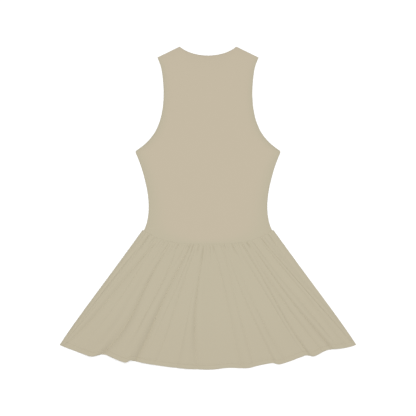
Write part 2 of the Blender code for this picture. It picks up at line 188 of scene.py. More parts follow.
def through_thirds(values: Sequence[float], share: Array) -> Array:
    """The cubic that has four values at shares of 0, one third, two thirds and 1.

    Args:
        values: The four values.
        share: Where the cubic is wanted.

    Returns:
        Each value times its Lagrange factor, the product over the other stations of
        (share - station) / (own station - station), summed.
    """
    total = np.zeros_like(share)
    for station, value in zip(THIRDS, values):
        others = [other for other in THIRDS if other != station]
        factor = np.prod([(share - other) / (station - other) for other in others], axis=0)
        total = total + value * factor
    return total


def curve_through(sections: Sequence[Section], drop: Array) -> Array:
    """Half width at a drop.

    Args:
        sections: The half widths that the curve passes through.
        drop: Drops in metres.

    Returns:
        Cubic Hermite pieces between the sections, with a shared slope at each section.
    """
    drops, halves = np.array(sections).T * MM
    slopes = np.gradient(halves, drops)
    piece = np.clip(np.searchsorted(drops, drop, side="right") - 1, 0, len(drops) - 2)
    span = drops[piece + 1] - drops[piece]
    t = np.clip((drop - drops[piece]) / span, 0, 1)
    start = (2 * t**3 - 3 * t**2 + 1) * halves[piece]
    end = (3 * t**2 - 2 * t**3) * halves[piece + 1]
    start_slope = (t**3 - 2 * t**2 + t) * span * slopes[piece]
    return start + end + start_slope + (t**3 - t**2) * span * slopes[piece + 1]


def crease_height(
    creases: Sequence[Crease], across: Array, down: Array, half: Array, length: float
) -> Array:
    """Height of fine creases, each a soft line that fades at both of its ends.

    Args:
        creases: The creases.
        across: Shares of the half width.
        down: Shares of the length.
        half: Half width in metres.
        length: The length that the shares down are of, in metres.

    Returns:
        The sum of height times e^-(distance / width)^2 times sin(pi t)^0.5, where t is the
        share of the way along the crease and the distance is measured across the dress.
    """
    height = np.zeros_like(across)
    for crease in creases:
        run = crease.end_down - crease.start_down
        shift = crease.end_across - crease.start_across
        if abs(run) * length > abs(shift) * float(np.max(half)):
            t = np.clip((down - crease.start_down) / run, 0, 1)
            line = crease.start_across + shift * t + crease.bow * np.sin(math.pi * t)
            distance = (across - line) * half
        else:
            t = np.clip((across - crease.start_across) / shift, 0, 1)
            line = crease.start_down + run * t + crease.bow * np.sin(math.pi * t)
            distance = (down - line) * length
        fade = np.sin(math.pi * t) ** 0.5
        height += crease.height * MM * bump_line(distance, crease.width * MM) * fade
    return height


@dataclass(frozen=True)
class Cut:
    """Outline of the dress: where its edges, its waist seam and its hems run."""

    length: float = 827.6 * MM
    back_neck_drop: float = 23.2 * MM
    front_neck_drop: float = 84 * MM
    shoulder_drop: float = 28 * MM
    underarm_drop: float = 269 * MM
    seam_side_drop: float = 471 * MM
    seam_centre_drop: float = 506 * MM
    neck_half: float = 72 * MM
    shoulder_half: float = 129.5 * MM
    bodice_seam_half: float = 164 * MM
    skirt_seam_half: float = 168 * MM
    hem_half: float = 380 * MM
    back_neck_roundness: float = 0.8
    front_neck_roundness: float = 0.55
    seam_curve: float = 3.2
    hem_curve: float = 1.87
    hem_side_lift: float = 81.5 * MM
    hem_corner_drop: float = 18.3 * MM
    hem_corner_curve: float = 6
    front_hem_shorter: float = 3 * MM
    front_inset: float = 0.8 * MM
    skirt_side_bow: float = 22 * MM
    ease_curve: float = 1.5
    top_ease: float = 150 * MM
    armhole: tuple[Section, ...] = (
        Section(28, 129.5), Section(56, 120.3), Section(92, 115), Section(123, 113.5),
        Section(160, 116.4), Section(195, 124.8), Section(225, 139.5), Section(250, 161.5),
        Section(269, 186.5),
    )
    side_seam: tuple[Section, ...] = (
        Section(269, 186.5), Section(300, 174), Section(335, 163.3), Section(372, 155.2),
        Section(405, 151.9), Section(436, 153.6), Section(458, 158.6), Section(471, 164),
    )
    scallops: tuple[Scallop, ...] = (
        Scallop(-257, 18.7, 48, 2000), Scallop(-197, 8.4, 15, 72), Scallop(8, -2.4, 40, 40),
        Scallop(63, 2.9, 40, 35), Scallop(161, 7.6, 24, 80), Scallop(247, 9.2, 26, 37),
        Scallop(276, 18.3, 105, 2000),
    )

    def place_y(self, drop: Array) -> Array:
        """Y of a drop below the shoulder's neck point."""
        return self.length / 2 - drop

    def bodice_half(self, level: Array) -> Array:
        """Half width of the bodice: the armhole's curve, then the side seam's."""
        above = curve_through(self.armhole, level)
        return np.where(level < self.underarm_drop, above, curve_through(self.side_seam, level))

    def top_edge(self, x: Array, neck_drop: float, roundness: float) -> Array:
        """Drop of the neck and the shoulder seam.

        Args:
            x: Places across the dress.
            neck_drop: Drop of the neck's lowest point.
            roundness: Exponent of the scoop. A smaller one is rounder.

        Returns:
            neck_drop times (1 - (x / neck half)^2)^roundness, then a straight shoulder.
        """
        across = np.clip(np.abs(x) / self.neck_half, 0, 1)
        along = (np.abs(x) - self.neck_half) / (self.shoulder_half - self.neck_half)
        return neck_drop * (1 - across**2) ** roundness + self.shoulder_drop * np.clip(along, 0, 1)

    def seam_edge(self, x: Array) -> Array:
        """Drop of the waist seam, which dips in the middle and rises to the side seams."""
        across = np.clip(np.abs(x) / self.bodice_seam_half, 0, 1)
        return self.seam_centre_drop - (
            self.seam_centre_drop - self.seam_side_drop
        ) * across**self.seam_curve

    def hem_arc(self, x: Array) -> Array:
        """Drop of the hem's plain arc, lowest in the middle."""
        return self.length - self.hem_side_lift * (np.abs(x) / self.hem_half) ** self.hem_curve

    def front_hem(self, x: Array) -> Array:
        """Drop of the front's hem: a little above the arc, and down to it at the corners."""
        across = np.abs(x) / self.hem_half
        corner = self.hem_corner_drop * across**self.hem_corner_curve
        return self.hem_arc(x) - self.front_hem_shorter * (1 - across**2) + corner

    def back_hem(self, x: Array) -> Array:
        """Drop of the back's hem: the arc, let down by each fold that ends there."""
        drop = self.hem_arc(x)
        for scallop in self.scallops:
            outward = (x - scallop.start * MM) * math.copysign(1, scallop.start)
            let_down = smoothstep(outward / (scallop.over * MM))
            fading = smoothstep((outward - scallop.over * MM) / (scallop.fade * MM))
            drop = drop + scallop.deeper * MM * let_down * (1 - fading)
        return drop

    def bodice_drop(self, x: Array, level: Array, neck_drop: float, roundness: float) -> Array:
        """Drop of the bodice's grid rows.

        Args:
            x: Places across the dress.
            level: Drop of the row at the side edge.
            neck_drop: Drop of the neck's lowest point.
            roundness: Exponent of the neck's scoop.

        Returns:
            The level, bent to the top edge near it and to the waist seam near that.
        """
        top_ease = np.clip(1 - (level - self.shoulder_drop) / self.top_ease, 0, 1)
        above_seam = (level - self.underarm_drop) / (self.seam_side_drop - self.underarm_drop)
        seam_ease = np.clip(above_seam, 0, 1) ** self.ease_curve
        seam_x = x * self.bodice_seam_half / self.bodice_half(level)
        to_top = self.top_edge(x, neck_drop, roundness) - self.shoulder_drop
        to_seam = self.seam_edge(seam_x) - self.seam_side_drop
        return level + top_ease**self.ease_curve * to_top + seam_ease * to_seam


# Meshes


def build_mesh(
    name: str, points: Array, faces: list, grain: Array | None = None, painted_shade: Array | None = None
) -> bpy.types.Object:
    """Put points and faces into a new object at the origin.

    Args:
        name: The piece's name.
        points: Places, one row each.
        faces: Point numbers of each face.
        grain: Places on the flat cloth in metres, one row for each point, for the UV map.
        painted_shade: How much of the darker painted shade colour each point has, for its
            attribute.

    Returns:
        The object, shaded smooth.
    """
    mesh = bpy.data.meshes.new(name)
    mesh.from_pydata(points.reshape(-1, 3).tolist(), [], faces)
    mesh.shade_smooth()
    if grain is not None:
        corners = np.empty(len(mesh.loops), dtype=np.int32)
        mesh.loops.foreach_get("vertex_index", corners)
        layer = mesh.uv_layers.new(name=GRAIN)
        layer.data.foreach_set("uv", grain.reshape(-1, 2)[corners].astype(np.float32).ravel())
    if painted_shade is not None:
        shade = mesh.attributes.new(PAINTED_SHADE, "FLOAT", "POINT")
        shade.data.foreach_set("value", painted_shade.astype(np.float32).ravel())
    piece = bpy.data.objects.new(name, mesh)
    bpy.context.scene.collection.objects.link(piece)
    return piece


def ring_faces(copies: int, rings: int, sides: int, ends: Ends) -> list:
    """Faces of stacks of rings, each point joined to the next one round and to the next ring.

    Args:
        copies: How many separate stacks there are.
        rings: Rings in each stack.
        sides: Points in each ring, counterclockwise as seen from the stack's far end.
        ends: Whether each stack is capped or joined to its start.

    Returns:
        Point numbers of every face, facing outwards.
    """
    steps = rings if ends is Ends.JOINED else rings - 1
    ring, side = np.meshgrid(np.arange(steps), np.arange(sides), indexing="ij")
    onward, beside = (ring + 1) % rings, (side + 1) % sides
    corners = (
        ring * sides + side, ring * sides + beside, onward * sides + beside, onward * sides + side
    )
    quads = np.stack(corners, axis=-1).reshape(1, -1, 4)
    offsets = np.arange(copies)[:, None, None] * rings * sides
    faces = (quads + offsets).reshape(-1, 4).tolist()
    if ends is Ends.CAPPED:
        caps = np.stack((np.arange(sides)[::-1], np.arange(sides) + (rings - 1) * sides))
        faces += (caps[None] + offsets).reshape(-1, sides).tolist()
    return faces


def swept_rings(path: Array, across: Array, up: Array, section: Array) -> Array:
    """Rings of a section carried along paths.

    Args:
        path: Centres, with the ring number next to last and x, y, z last.
        across: Unit vectors of the section's first direction, shaped like the path.
        up: Unit vectors of its second direction, shaped like the path.
        section: Pairs of distances along the two directions, one row for each side.

    Returns:
        Centre plus first distance times across plus second distance times up.
    """
    first, second = section[..., 0, None], section[..., 1, None]
    return path[..., None, :] + first * across[..., None, :] + second * up[..., None, :]


def circle(sides: int, radius: float = 1.0) -> Array:
    """A ring of points at equal angles on a circle, counterclockwise."""
    angles = np.arange(sides) / sides * TAU
    return radius * np.stack((np.cos(angles), np.sin(angles)), axis=-1)


def oval(
    sides: int, half_x: Array | float, half_y: float, centre_y: float, squareness: float
) -> Array:
    """A rounded rectangle: cosine and sine, each to a power below 1, times half sizes.

    Args:
        sides: How many points it has.
        half_x: Half width, one value or one for each point.
        half_y: Half length.
        centre_y: Y of its middle.
        squareness: The power. A smaller one is squarer.

    Returns:
        Points counterclockwise as seen from above.
    """
    angle = (np.arange(sides) + 0.5) / sides * TAU
    x = np.sign(np.cos(angle)) * np.abs(np.cos(angle)) ** squareness
    y = np.sign(np.sin(angle)) * np.abs(np.sin(angle)) ** squareness
    return np.stack((half_x * x, centre_y + half_y * y), axis=-1)


def unit(vectors: Array) -> Array:
    """Vectors over their own lengths."""
    return vectors / np.linalg.norm(vectors, axis=-1, keepdims=True)


@dataclass(frozen=True)
class ClothWall:
    """A wall of cloth with rounded rims, built between two grids of points."""

    wall: float = 1.2 * MM
    rim_reach: float = 1.3 * MM
    rim_share: float = 0.25
    steepest: float = 2.0

    def build(
        self, name: str, x: Array, y: Array, lower: Array, from_edge: Array, grain: Array,
        painted_shade: Array | None = None,
    ) -> bpy.types.Object:
        """Close a thin shell over a grid.

        The wall stands on the lower height, wall times the root of 1 + slope^2 thick, so that
        steep cloth keeps its thickness. Towards an edge it thins evenly from both faces like a
        quarter of a circle, down to a share of its thickness.

        Args:
            name: The piece's name.
            x: Places across. They grow along each row.
            y: Places along the dress. They fall from row to row.
            lower: Height of the lower face.
            from_edge: Distance to the nearest edge.
            grain: Places on the flat cloth, as two grids stacked last.
            painted_shade: How much of the darker painted shade colour each point has.

        Returns:
            The closed shell.
        """
        slope_x = np.gradient(lower, axis=1) / np.gradient(x, axis=1)
        slope_y = np.gradient(lower, axis=0) / np.gradient(y, axis=0)
        full = self.wall * np.minimum(np.sqrt(1 + slope_x**2 + slope_y**2), self.steepest)
        inside = np.clip(from_edge / self.rim_reach, 0, 1)
        round_off = np.sqrt(1 - (1 - inside) ** 2)
        thick = full * (self.rim_share + (1 - self.rim_share) * round_off)
        bottom = np.stack((x, y, lower + (full - thick) / 2), axis=-1)
        top = bottom + np.stack((0 * x, 0 * x, thick), axis=-1)
        return build_mesh(
            name, np.stack((bottom, top)), self._faces(*x.shape), np.stack((grain, grain)),
            None if painted_shade is None else np.stack((painted_shade, painted_shade)),
        )

    def _faces(self, rows: int, columns: int) -> list:
        """Quads of both faces and of the rim between them.

        Args:
            rows: Rows of the grid.
            columns: Columns of the grid.

        Returns:
            Point numbers of every face, facing outwards.
        """
        number = np.arange(rows * columns).reshape(rows, columns)
        under = np.stack(
            (number[:-1, :-1], number[:-1, 1:], number[1:, 1:], number[1:, :-1]), axis=-1
        )
        over = under[..., ::-1] + number.size
        round_rim = np.concatenate(
            (number[0, :-1], number[:-1, -1], number[-1, :0:-1], number[:0:-1, 0])
        )
        onward = np.roll(round_rim, -1)
        rim = np.stack((onward, round_rim, round_rim + number.size, onward + number.size), axis=-1)
        return np.concatenate((under.reshape(-1, 4), over.reshape(-1, 4), rim)).tolist()


def with_rims(
    inner: Array, first: Sequence[float], last: Sequence[float], margin: float = 1.2
) -> Array:
    """Stations between 0 and 1 with extra ones close to both ends, for the rounded rims.

    Args:
        inner: The usual stations, from 0 to 1.
        first: Distances of extra stations from 0.
        last: Distances of extra stations from 1.
        margin: How far in the usual stations start, over the furthest extra distance.

    Returns:
        All stations in order, each once.
    """
    low, high = max(first) * margin, 1 - max(last) * margin
    kept = inner[(inner > low) & (inner < high)]
    return np.concatenate(([0.0], first, kept, 1 - np.array(last)[::-1], [1.0]))


# Finishes


class Wire:
    """A shader socket in arithmetic: each operator adds a Math node and gives its output."""

    def __init__(self, graph: "Graph", socket: bpy.types.NodeSocket) -> None:
        """Keep the socket and the graph that it belongs to."""
        self.graph, self.socket = graph, socket

    def maths(self, operation: str, *values: Number) -> "Wire":
        """One Math node with these values in its sockets."""
        return self.graph.node(
            "ShaderNodeMath", {"operation": operation}, dict(enumerate(values))
        )

    def output(self, name: str) -> "Wire":
        """Another output of the same node."""
        return Wire(self.graph, self.socket.node.outputs[name])

    def __add__(self, other: Number) -> "Wire":
        """Self plus other."""
        return self.maths("ADD", self, other)

    __radd__ = __add__

    def __sub__(self, other: Number) -> "Wire":
        """Self minus other."""
        return self.maths("SUBTRACT", self, other)

    def __rsub__(self, other: Number) -> "Wire":
        """Other minus self."""
        return self.maths("SUBTRACT", other, self)

    def __mul__(self, other: Number) -> "Wire":
        """Self times other."""
        return self.maths("MULTIPLY", self, other)

    __rmul__ = __mul__

    def __truediv__(self, other: Number) -> "Wire":
        """Self over other."""
        return self.maths("DIVIDE", self, other)

    def fract(self) -> "Wire":
        """What is left over a whole number."""
        return self.maths("FRACT", self)

    def sine(self) -> "Wire":
        """The sine of an angle in radians."""
        return self.maths("SINE", self)

    def absolute(self) -> "Wire":
        """The value without its sign."""
        return self.maths("ABSOLUTE", self)


class Graph:
    """The nodes of one material, round its Principled shader."""

    def __init__(self, name: str) -> None:
        """Start a material with a name."""
        self.material = bpy.data.materials.new(name)
        self.material.use_nodes = True
        self.tree = self.material.node_tree
        self.shader = self.tree.nodes["Principled BSDF"]

    def node(
        self, kind: str, settings: dict | None = None, sockets: dict | None = None,
        output: int = 0,
    ) -> Wire:
        """Add any node.

        Args:
            kind: The node's type.
            settings: Its settings by name, which are set first.
            sockets: Values or wires for its input sockets, by name or number.
            output: Which output to give back.

        Returns:
            The node's output.
        """
        made = self.tree.nodes.new(kind)
        for name, value in (settings or {}).items():
            setattr(made, name, value)
        for name, value in (sockets or {}).items():
            self.feed(made.inputs[name], value)
        return Wire(self, made.outputs[output])

    def feed(self, socket: bpy.types.NodeSocket, value: object) -> None:
        """Link a wire to a socket, or set the socket's own value."""
        if isinstance(value, Wire):
            self.tree.links.new(value.socket, socket)
        else:
            socket.default_value = value

    def finish(self, **sockets: object) -> bpy.types.Material:
        """Set the Principled shader's sockets, with _ for a space, and give the material."""
        for name, value in sockets.items():
            self.feed(self.shader.inputs[name.replace("_", " ")], value)
        return self.material

    def grain(self) -> Wire:
        """Places on the flat cloth, from the piece's own UV map."""
        return self.node("ShaderNodeUVMap", {"uv_map": GRAIN})

    def own_place(self) -> Wire:
        """Places on the piece itself, in metres."""
        return self.node("ShaderNodeTexCoord").output("Object")

    def across_and_along(self, place: Wire) -> tuple[Wire, Wire]:
        """The first two parts of a place."""
        split = self.node("ShaderNodeSeparateXYZ", sockets={"Vector": place})
        return split, split.output("Y")

    def noise(self, place: Wire, scale: float, detail: float = 2.0) -> Wire:
        """Soft noise of 0 to 1 with a number of grains per metre."""
        return self.node(
            "ShaderNodeTexNoise", sockets={"Vector": place, "Scale": scale, "Detail": detail}
        )

    def between(self, factor: Number, first: object, second: object) -> Wire:
        """A colour between two colours: a Mix node's colours are its inputs 6 and 7."""
        colour_sockets = {0: factor, 6: first, 7: second}
        return self.node("ShaderNodeMix", {"data_type": "RGBA"}, colour_sockets, output=2)

    def raised(self, height: Wire, distance: float, strength: float) -> Wire:
        """A normal bent by a height of 0 to 1."""
        return self.node(
            "ShaderNodeBump",
            sockets={"Height": height, "Distance": distance, "Strength": strength},
        )


@dataclass(frozen=True)
class Jersey:
    """Fine single jersey: upright wales of V-shaped loops, a slightly uneven dye and painted
    shade.
    """

    name: str
    colour: Srgb
    # The darker colour that the painted shade attribute mixes in
    painted_shade_colour: Srgb
    wale: float = 1.0 * MM
    course: float = 0.8 * MM
    loop_relief: float = 0.10 * MM
    relief_strength: float = 0.14
    groove_shade: float = 0.96
    heather_per_metre: float = 900
    cloud_per_metre: float = 14
    fuzz_per_metre: float = 3500
    loops_light: float = 0.45
    heather_light: float = 0.12
    cloud_light: float = 0.05
    fuzz_light: float = 0.10
    least_light: float = 0.14
    loop_lean: float = 0.3
    fuzz_relief: float = 0.2
    roughness: float = 0.86
    roughness_spread: float = 0.1
    sheen: float = 0.04
    sheen_roughness: float = 0.6

    def material(self) -> bpy.types.Material:
        """The nodes of the jersey.

        A wale is the share across one column of loops, and its chevron is |2 wale - 1|. The
        loops stand up like sin(pi wale) times (0.7 + 0.3 sin(course turns + chevron / 2)).

        Returns:
            The material.
        """
        graph = Graph(self.name)
        place = graph.grain()
        across, along = graph.across_and_along(place)
        wale = (across / self.wale).fract()
        chevron = (wale * 2 - 1).absolute()
        turn = ((along / self.course + chevron * 0.5) * TAU).sine()
        loops = (wale * math.pi).sine() * (turn * self.loop_lean + (1 - self.loop_lean))
        fuzz = graph.noise(place, self.fuzz_per_metre)
        heather = graph.noise(place, self.heather_per_metre)
        cloud = graph.noise(place, self.cloud_per_metre)
        # Painted shade: the loops darken the colour in their grooves and lighten it on their
        # crests; the heather, clouds and fuzz are uneven dye
        knit = loops * self.loops_light + heather * self.heather_light
        light = knit + cloud * self.cloud_light + fuzz * self.fuzz_light + self.least_light
        # Painted shade: the attribute mixes in the darker painted shade colour
        painted_shade = graph.node("ShaderNodeAttribute", {"attribute_name": PAINTED_SHADE}).output("Fac")
        dark, bright = (
            graph.between(painted_shade, self.colour.linear(share), self.painted_shade_colour.linear(share))
            for share in (self.groove_shade, 2 - self.groove_shade)
        )
        colour = graph.between(light, dark, bright)
        surface = loops * (1 - self.fuzz_relief) + fuzz * self.fuzz_relief
        return graph.finish(
            Base_Color=colour,
            Roughness=self.roughness + fuzz * self.roughness_spread - self.roughness_spread / 2,
            Sheen_Weight=self.sheen,
            Sheen_Roughness=self.sheen_roughness,
            Normal=graph.raised(surface, self.loop_relief, self.relief_strength),
        )


@dataclass(frozen=True)
class WovenTape:
    """The zip's tape: a herringbone of fine ribs, with painted shade in their grooves."""

    name: str
    colour: Srgb
    herringbone: float = 2.8 * MM
    rib: float = 0.55 * MM
    zigzag_turns: float = 2.5
    fibres_per_metre: float = 1500
    fibres_light: float = 0.4
    roughness: float = 0.9
    roughness_spread: float = 0.12
    relief: float = 0.12 * MM
    relief_strength: float = 0.5
    groove_shade: float = 0.82

    def material(self) -> bpy.types.Material:
        """The nodes of the tape.

        Returns:
            A material whose ribs are sin(turns of along + the zigzag of across).
        """
        graph = Graph(self.name)
        place = graph.grain()
        across, along = graph.across_and_along(place)
        zigzag = ((across / self.herringbone).fract() * 2 - 1).absolute()
        ribs = ((along / self.rib + zigzag * self.zigzag_turns) * TAU).sine() * 0.5 + 0.5
        fibres = graph.noise(place, self.fibres_per_metre)
        # Painted shade: the ribs darken the colour in their grooves; the fibres are uneven dye
        shade = ribs * (1 - self.fibres_light) + fibres * self.fibres_light
        colour = graph.between(
            shade, self.colour.linear(self.groove_shade), self.colour.linear(2 - self.groove_shade)
        )
        return graph.finish(
            Base_Color=colour, Roughness=self.roughness - ribs * self.roughness_spread,
            Normal=graph.raised(ribs, self.relief, self.relief_strength),
        )


@dataclass(frozen=True)
class Filament:
    """A finish of fine, even marks: the coil's satin nylon, and the fibres of the thread."""

    name: str
    colour: Srgb
    marks_per_metre: float
    darkest: float
    roughness: float
    roughness_spread: float
    relief: float
    relief_strength: float
    brightest: float = 1.1
    detail: float = 3.0

    def material(self) -> bpy.types.Material:
        """The nodes of the filament: noise that shades, roughens and raises it."""
        graph = Graph(self.name)
        marks = graph.noise(graph.own_place(), self.marks_per_metre, self.detail)
        dark, bright = self.colour.linear(self.darkest), self.colour.linear(self.brightest)
        return graph.finish(
            Base_Color=graph.between(marks, dark, bright),
            Roughness=marks * self.roughness_spread + self.roughness,
            Normal=graph.raised(marks, self.relief, self.relief_strength),
        )


@dataclass(frozen=True)
class PlatedMetal:
    """Satin nickel plate with fine brushing and soft blotches."""

    name: str
    colour: Srgb
    stretch: float = 0.08
    brushing_per_metre: float = 9000
    brushing_detail: float = 3.0
    blotches_per_metre: float = 350
    darkest: float = 0.85
    brightest: float = 1.1
    roughness: float = 0.14
    brushing_roughness: float = 0.2
    blotch_roughness: float = 0.15
    relief: float = 0.01 * MM
    relief_strength: float = 0.4

    def material(self) -> bpy.types.Material:
        """The nodes of the plate: noise stretched along Y is the brushing."""
        graph = Graph(self.name)
        place = graph.own_place()
        stretched = graph.node(
            "ShaderNodeMapping", sockets={"Vector": place, "Scale": (1.0, self.stretch, 1.0)}
        )
        brushing = graph.noise(stretched, self.brushing_per_metre, self.brushing_detail)
        blotches = graph.noise(place, self.blotches_per_metre)
        dark, bright = self.colour.linear(self.darkest), self.colour.linear(self.brightest)
        uneven = brushing * self.brushing_roughness + blotches * self.blotch_roughness
        return graph.finish(
            Base_Color=graph.between(blotches, dark, bright), Metallic=1.0,
            Roughness=uneven + self.roughness,
            Normal=graph.raised(brushing, self.relief, self.relief_strength),
        )


@dataclass(frozen=True)
class Palette:
    """Every finish of the dress, made once."""

    bodice: bpy.types.Material
    skirt: bpy.types.Material
    tape: bpy.types.Material
    coil: bpy.types.Material
    metal: bpy.types.Material
    thread: bpy.types.Material

    @classmethod
    def mixed(cls) -> "Palette":
        """All finishes in the dress's own colours."""
        # olive is the skirt's colour and the bodice's painted shade; the darker olive is the
        # skirt's painted shade towards the hem
        olive, hem_shade_olive = Srgb(176.6, 168.3, 146.3), Srgb(175.8, 167.0, 145.1)
        coil = Filament(
            "zip_coil_finish", Srgb(168, 158, 136), marks_per_metre=2200, darkest=0.9,
            roughness=0.3, roughness_spread=0.25, relief=0.02 * MM, relief_strength=0.3,
        )
        thread = Filament(
            "thread_finish", Srgb(180, 171, 149), marks_per_metre=6000, darkest=0.86,
            roughness=0.6, roughness_spread=0.2, relief=0.05 * MM, relief_strength=0.4,
        )
        return cls(
            bodice=Jersey("bodice_jersey_finish", Srgb(180.4, 169.5, 148.4), olive).material(),
            skirt=Jersey("skirt_jersey_finish", olive, hem_shade_olive).material(),
            tape=WovenTape("zip_tape_finish", Srgb(172, 162, 140)).material(),
            coil=coil.material(),
            metal=PlatedMetal("zip_metal_finish", Srgb(200, 196, 188)).material(),
            thread=thread.material(),
        )


def dress_piece(
    piece: bpy.types.Object, finish: bpy.types.Material, slot: str, body: Body, *nodes: str
) -> bpy.types.Object:
    """Give a piece its finish and its body, and hide the solids that it stands for.

    Args:
        piece: The piece.
        finish: Its material.
        slot: Not used.
        body: The body that it rides on.
        nodes: Names of the CAD nodes that it replaces.

    Returns:
        The piece.
    """
    piece.data.materials.append(finish)
    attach(piece, body.value)
    if nodes:
        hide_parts(*nodes)
    LOG.info("%s: %d faces", piece.name, len(piece.data.polygons))
    return piece


# How the dress lies


@dataclass(frozen=True)
class Lie:
    """Heights of the layers above the plane, and how far the zip holds the front up."""

    wall: float = 1.2 * MM
    layer_gap: float = 0.3 * MM
    loft: float = 5.2 * MM
    hem_loft: float = 1.5 * MM
    loft_curve: float = 0.8
    loft_reach: float = 18 * MM
    zip_raise: float = 2.0 * MM
    raise_flat_half: float = 14 * MM
    raise_half: float = 60 * MM
    raise_ends_y: float = 286.8 * MM
    raise_fade: float = 120 * MM

    def raised(self, x: Array, y: Array) -> Array:
        """How far the slider holds the front up: flat near the zip, fading out and down."""
        sideways = (np.abs(x) - self.raise_flat_half) / (self.raise_half - self.raise_flat_half)
        downwards = (self.raise_ends_y - y) / self.raise_fade
        return self.zip_raise * (1 - smoothstep(sideways)) * (1 - smoothstep(downwards))

    def eased(self, distance: Array) -> Array:
        """1 - e to the power of minus distance over the loft's reach."""
        return 1 - np.exp(-distance / self.loft_reach)


@dataclass(frozen=True)
class Bodice:
    """The back panel and the two front panels above the dropped waist."""

    cut: Cut
    lie: Lie
    cloth: ClothWall
    rows: int = 110
    half_columns: int = 52
    front_columns: int = 90
    front_columns_power: float = 1.5
    zip_opening_half: float = 4.4 * MM
    rims: tuple[float, ...] = (0.0010, 0.0025, 0.0050)
    side_close: float = 0.25 * MM
    side_close_reach: float = 2.2 * MM
    # Painted shade: a darker, more olive band along the sides and the seam
    painted_shade_reach: float = 9 * MM
    painted_shade_spread: float = 30 * MM
    topstitch_in: float = 6.0 * MM
    groove_depth: float = 0.35 * MM
    groove_width: float = 1.1 * MM
    back_flat: tuple[float, float] = (0.373, 0.506)
    front_flat: tuple[float, float] = (0.182, 0.445)
    back_area: float = 0.139
    front_area: float = 0.0636
    dents: tuple[Crease, ...] = (
        Crease(-0.95, 0.40, -0.62, 0.52, 0.03, -0.16, 10),
        Crease(0.96, 0.41, 0.66, 0.55, -0.02, -0.14, 11),
        Crease(-0.90, 0.86, -0.60, 0.78, 0.02, 0.14, 12),
        Crease(0.92, 0.84, 0.55, 0.79, -0.02, 0.15, 13),
        Crease(0.10, 0.12, 0.34, 0.33, 0.02, 0.10, 14),
    )

    def _grid(self, columns: Array) -> tuple[Array, Array]:
        """Levels down the bodice and shares across it, as two grids."""
        down = with_rims(np.linspace(0, 1, self.rows), self.rims, self.rims)
        span = self.cut.seam_side_drop - self.cut.shoulder_drop
        return np.meshgrid(self.cut.shoulder_drop + span * down, columns, indexing="ij")

    def build_back(self) -> bpy.types.Object:
        """The back panel: lifted in the middle, closed on the front along its edges.

        Returns:
            A shell whose height is the loft times the eased distances from its side and top,
            plus the dents, pressed a little closer along its sides. Its colour has painted shade:
            a darker, more olive soft band along the sides and the seam, wider towards the lower
            corners.
        """
        cut = self.cut
        right = with_rims(np.linspace(0, 1, self.half_columns), self.rims, self.rims)
        columns = np.concatenate((-right[:0:-1], right))
        level, across = self._grid(columns)
        half = cut.bodice_half(level)
        x = across * half
        drop = cut.bodice_drop(x, level, cut.back_neck_drop, cut.back_neck_roundness)
        from_side = half - np.abs(x)
        from_top = drop - cut.top_edge(x, cut.back_neck_drop, cut.back_neck_roundness)
        seam_x = x * cut.bodice_seam_half / half
        from_seam = cut.seam_edge(seam_x) - drop
        lift = self.lie.eased(from_side) * self.lie.eased(from_top)
        lower = self.lie.wall + self.lie.layer_gap + self.lie.loft * lift
        down = (level - cut.shoulder_drop) / (cut.seam_side_drop - cut.shoulder_drop)
        lower += crease_height(self.dents, across, down, half, cut.length / 2) * lift
        lower -= self.side_close * bump_line(from_side, self.side_close_reach)
        edge = np.minimum(from_side, from_top)
        # Painted shade: a darker, more olive band along the sides and the seam, wider lower down
        # and towards the corners
        by_side = bump_line(from_side, self.painted_shade_reach + self.painted_shade_spread * down**2)
        by_seam = bump_line(from_seam, self.painted_shade_reach + self.painted_shade_spread * across**2)
        painted_shade = 1 - (1 - by_side) * (1 - by_seam)
        return self.cloth.build(
            "back_bodice_cloth", x, cut.place_y(drop), lower, edge,
            np.stack((x, drop), axis=-1), painted_shade,
        )

    def build_front(self, side: Side) -> bpy.types.Object:
        """A front panel, from the zip to the side seam, lying on the plane.

        Args:
            side: Which side of the zip it is on.

        Returns:
            A shell at the zip's raise, with a groove on its outer face for the topstitching.
        """
        cut = self.cut
        inner = np.linspace(0, 1, self.front_columns) ** self.front_columns_power
        level, across = self._grid(with_rims(inner, self.rims, self.rims))
        reach = cut.bodice_half(level) - cut.front_inset - self.zip_opening_half
        x = self.zip_opening_half + across * reach
        drop = cut.bodice_drop(x, level, cut.front_neck_drop, cut.front_neck_roundness)
        ease = 1 - smoothstep((level - cut.shoulder_drop) / cut.top_ease)
        drop = drop + cut.front_inset * ease
        from_zip, from_side = x - self.zip_opening_half, reach * (1 - across)
        from_top = drop - drop[:1]
        from_seam = drop[-1:] - drop
        y = cut.place_y(drop)
        groove = self.groove_depth * bump_line(from_zip - self.topstitch_in, self.groove_width)
        lower = self.lie.raised(x, y) + groove
        edge = np.minimum(np.minimum(from_side, from_zip), np.minimum(from_top, from_seam))
        order = slice(None, None, side.value)
        name = f"front_bodice_{side.name.lower()}_cloth"
        return self.cloth.build(
            name, side.value * x[:, order], y[:, order], lower[:, order], edge[:, order],
            np.stack((x, drop), axis=-1)[:, order],
        )

    def dress(self, palette: Palette) -> None:
        """Build and finish the three panels."""
        for side in Side:
            front = self.build_front(side)
            node = f"front_bodice_{side.name.lower()}"
            dress_piece(front, palette.bodice, "bodice_jersey", Body.DRESS, node)
        back = self.build_back()
        dress_piece(back, palette.bodice, "bodice_jersey", Body.DRESS, "back_bodice")


# Skirt


class SkirtGrid(NamedTuple):
    """Places of a skirt panel's points and their distances along it."""

    across: Array
    down: Array
    half: Array
    x: Array
    drop: Array
    length: Array
    from_hem: Array
    from_side: Array


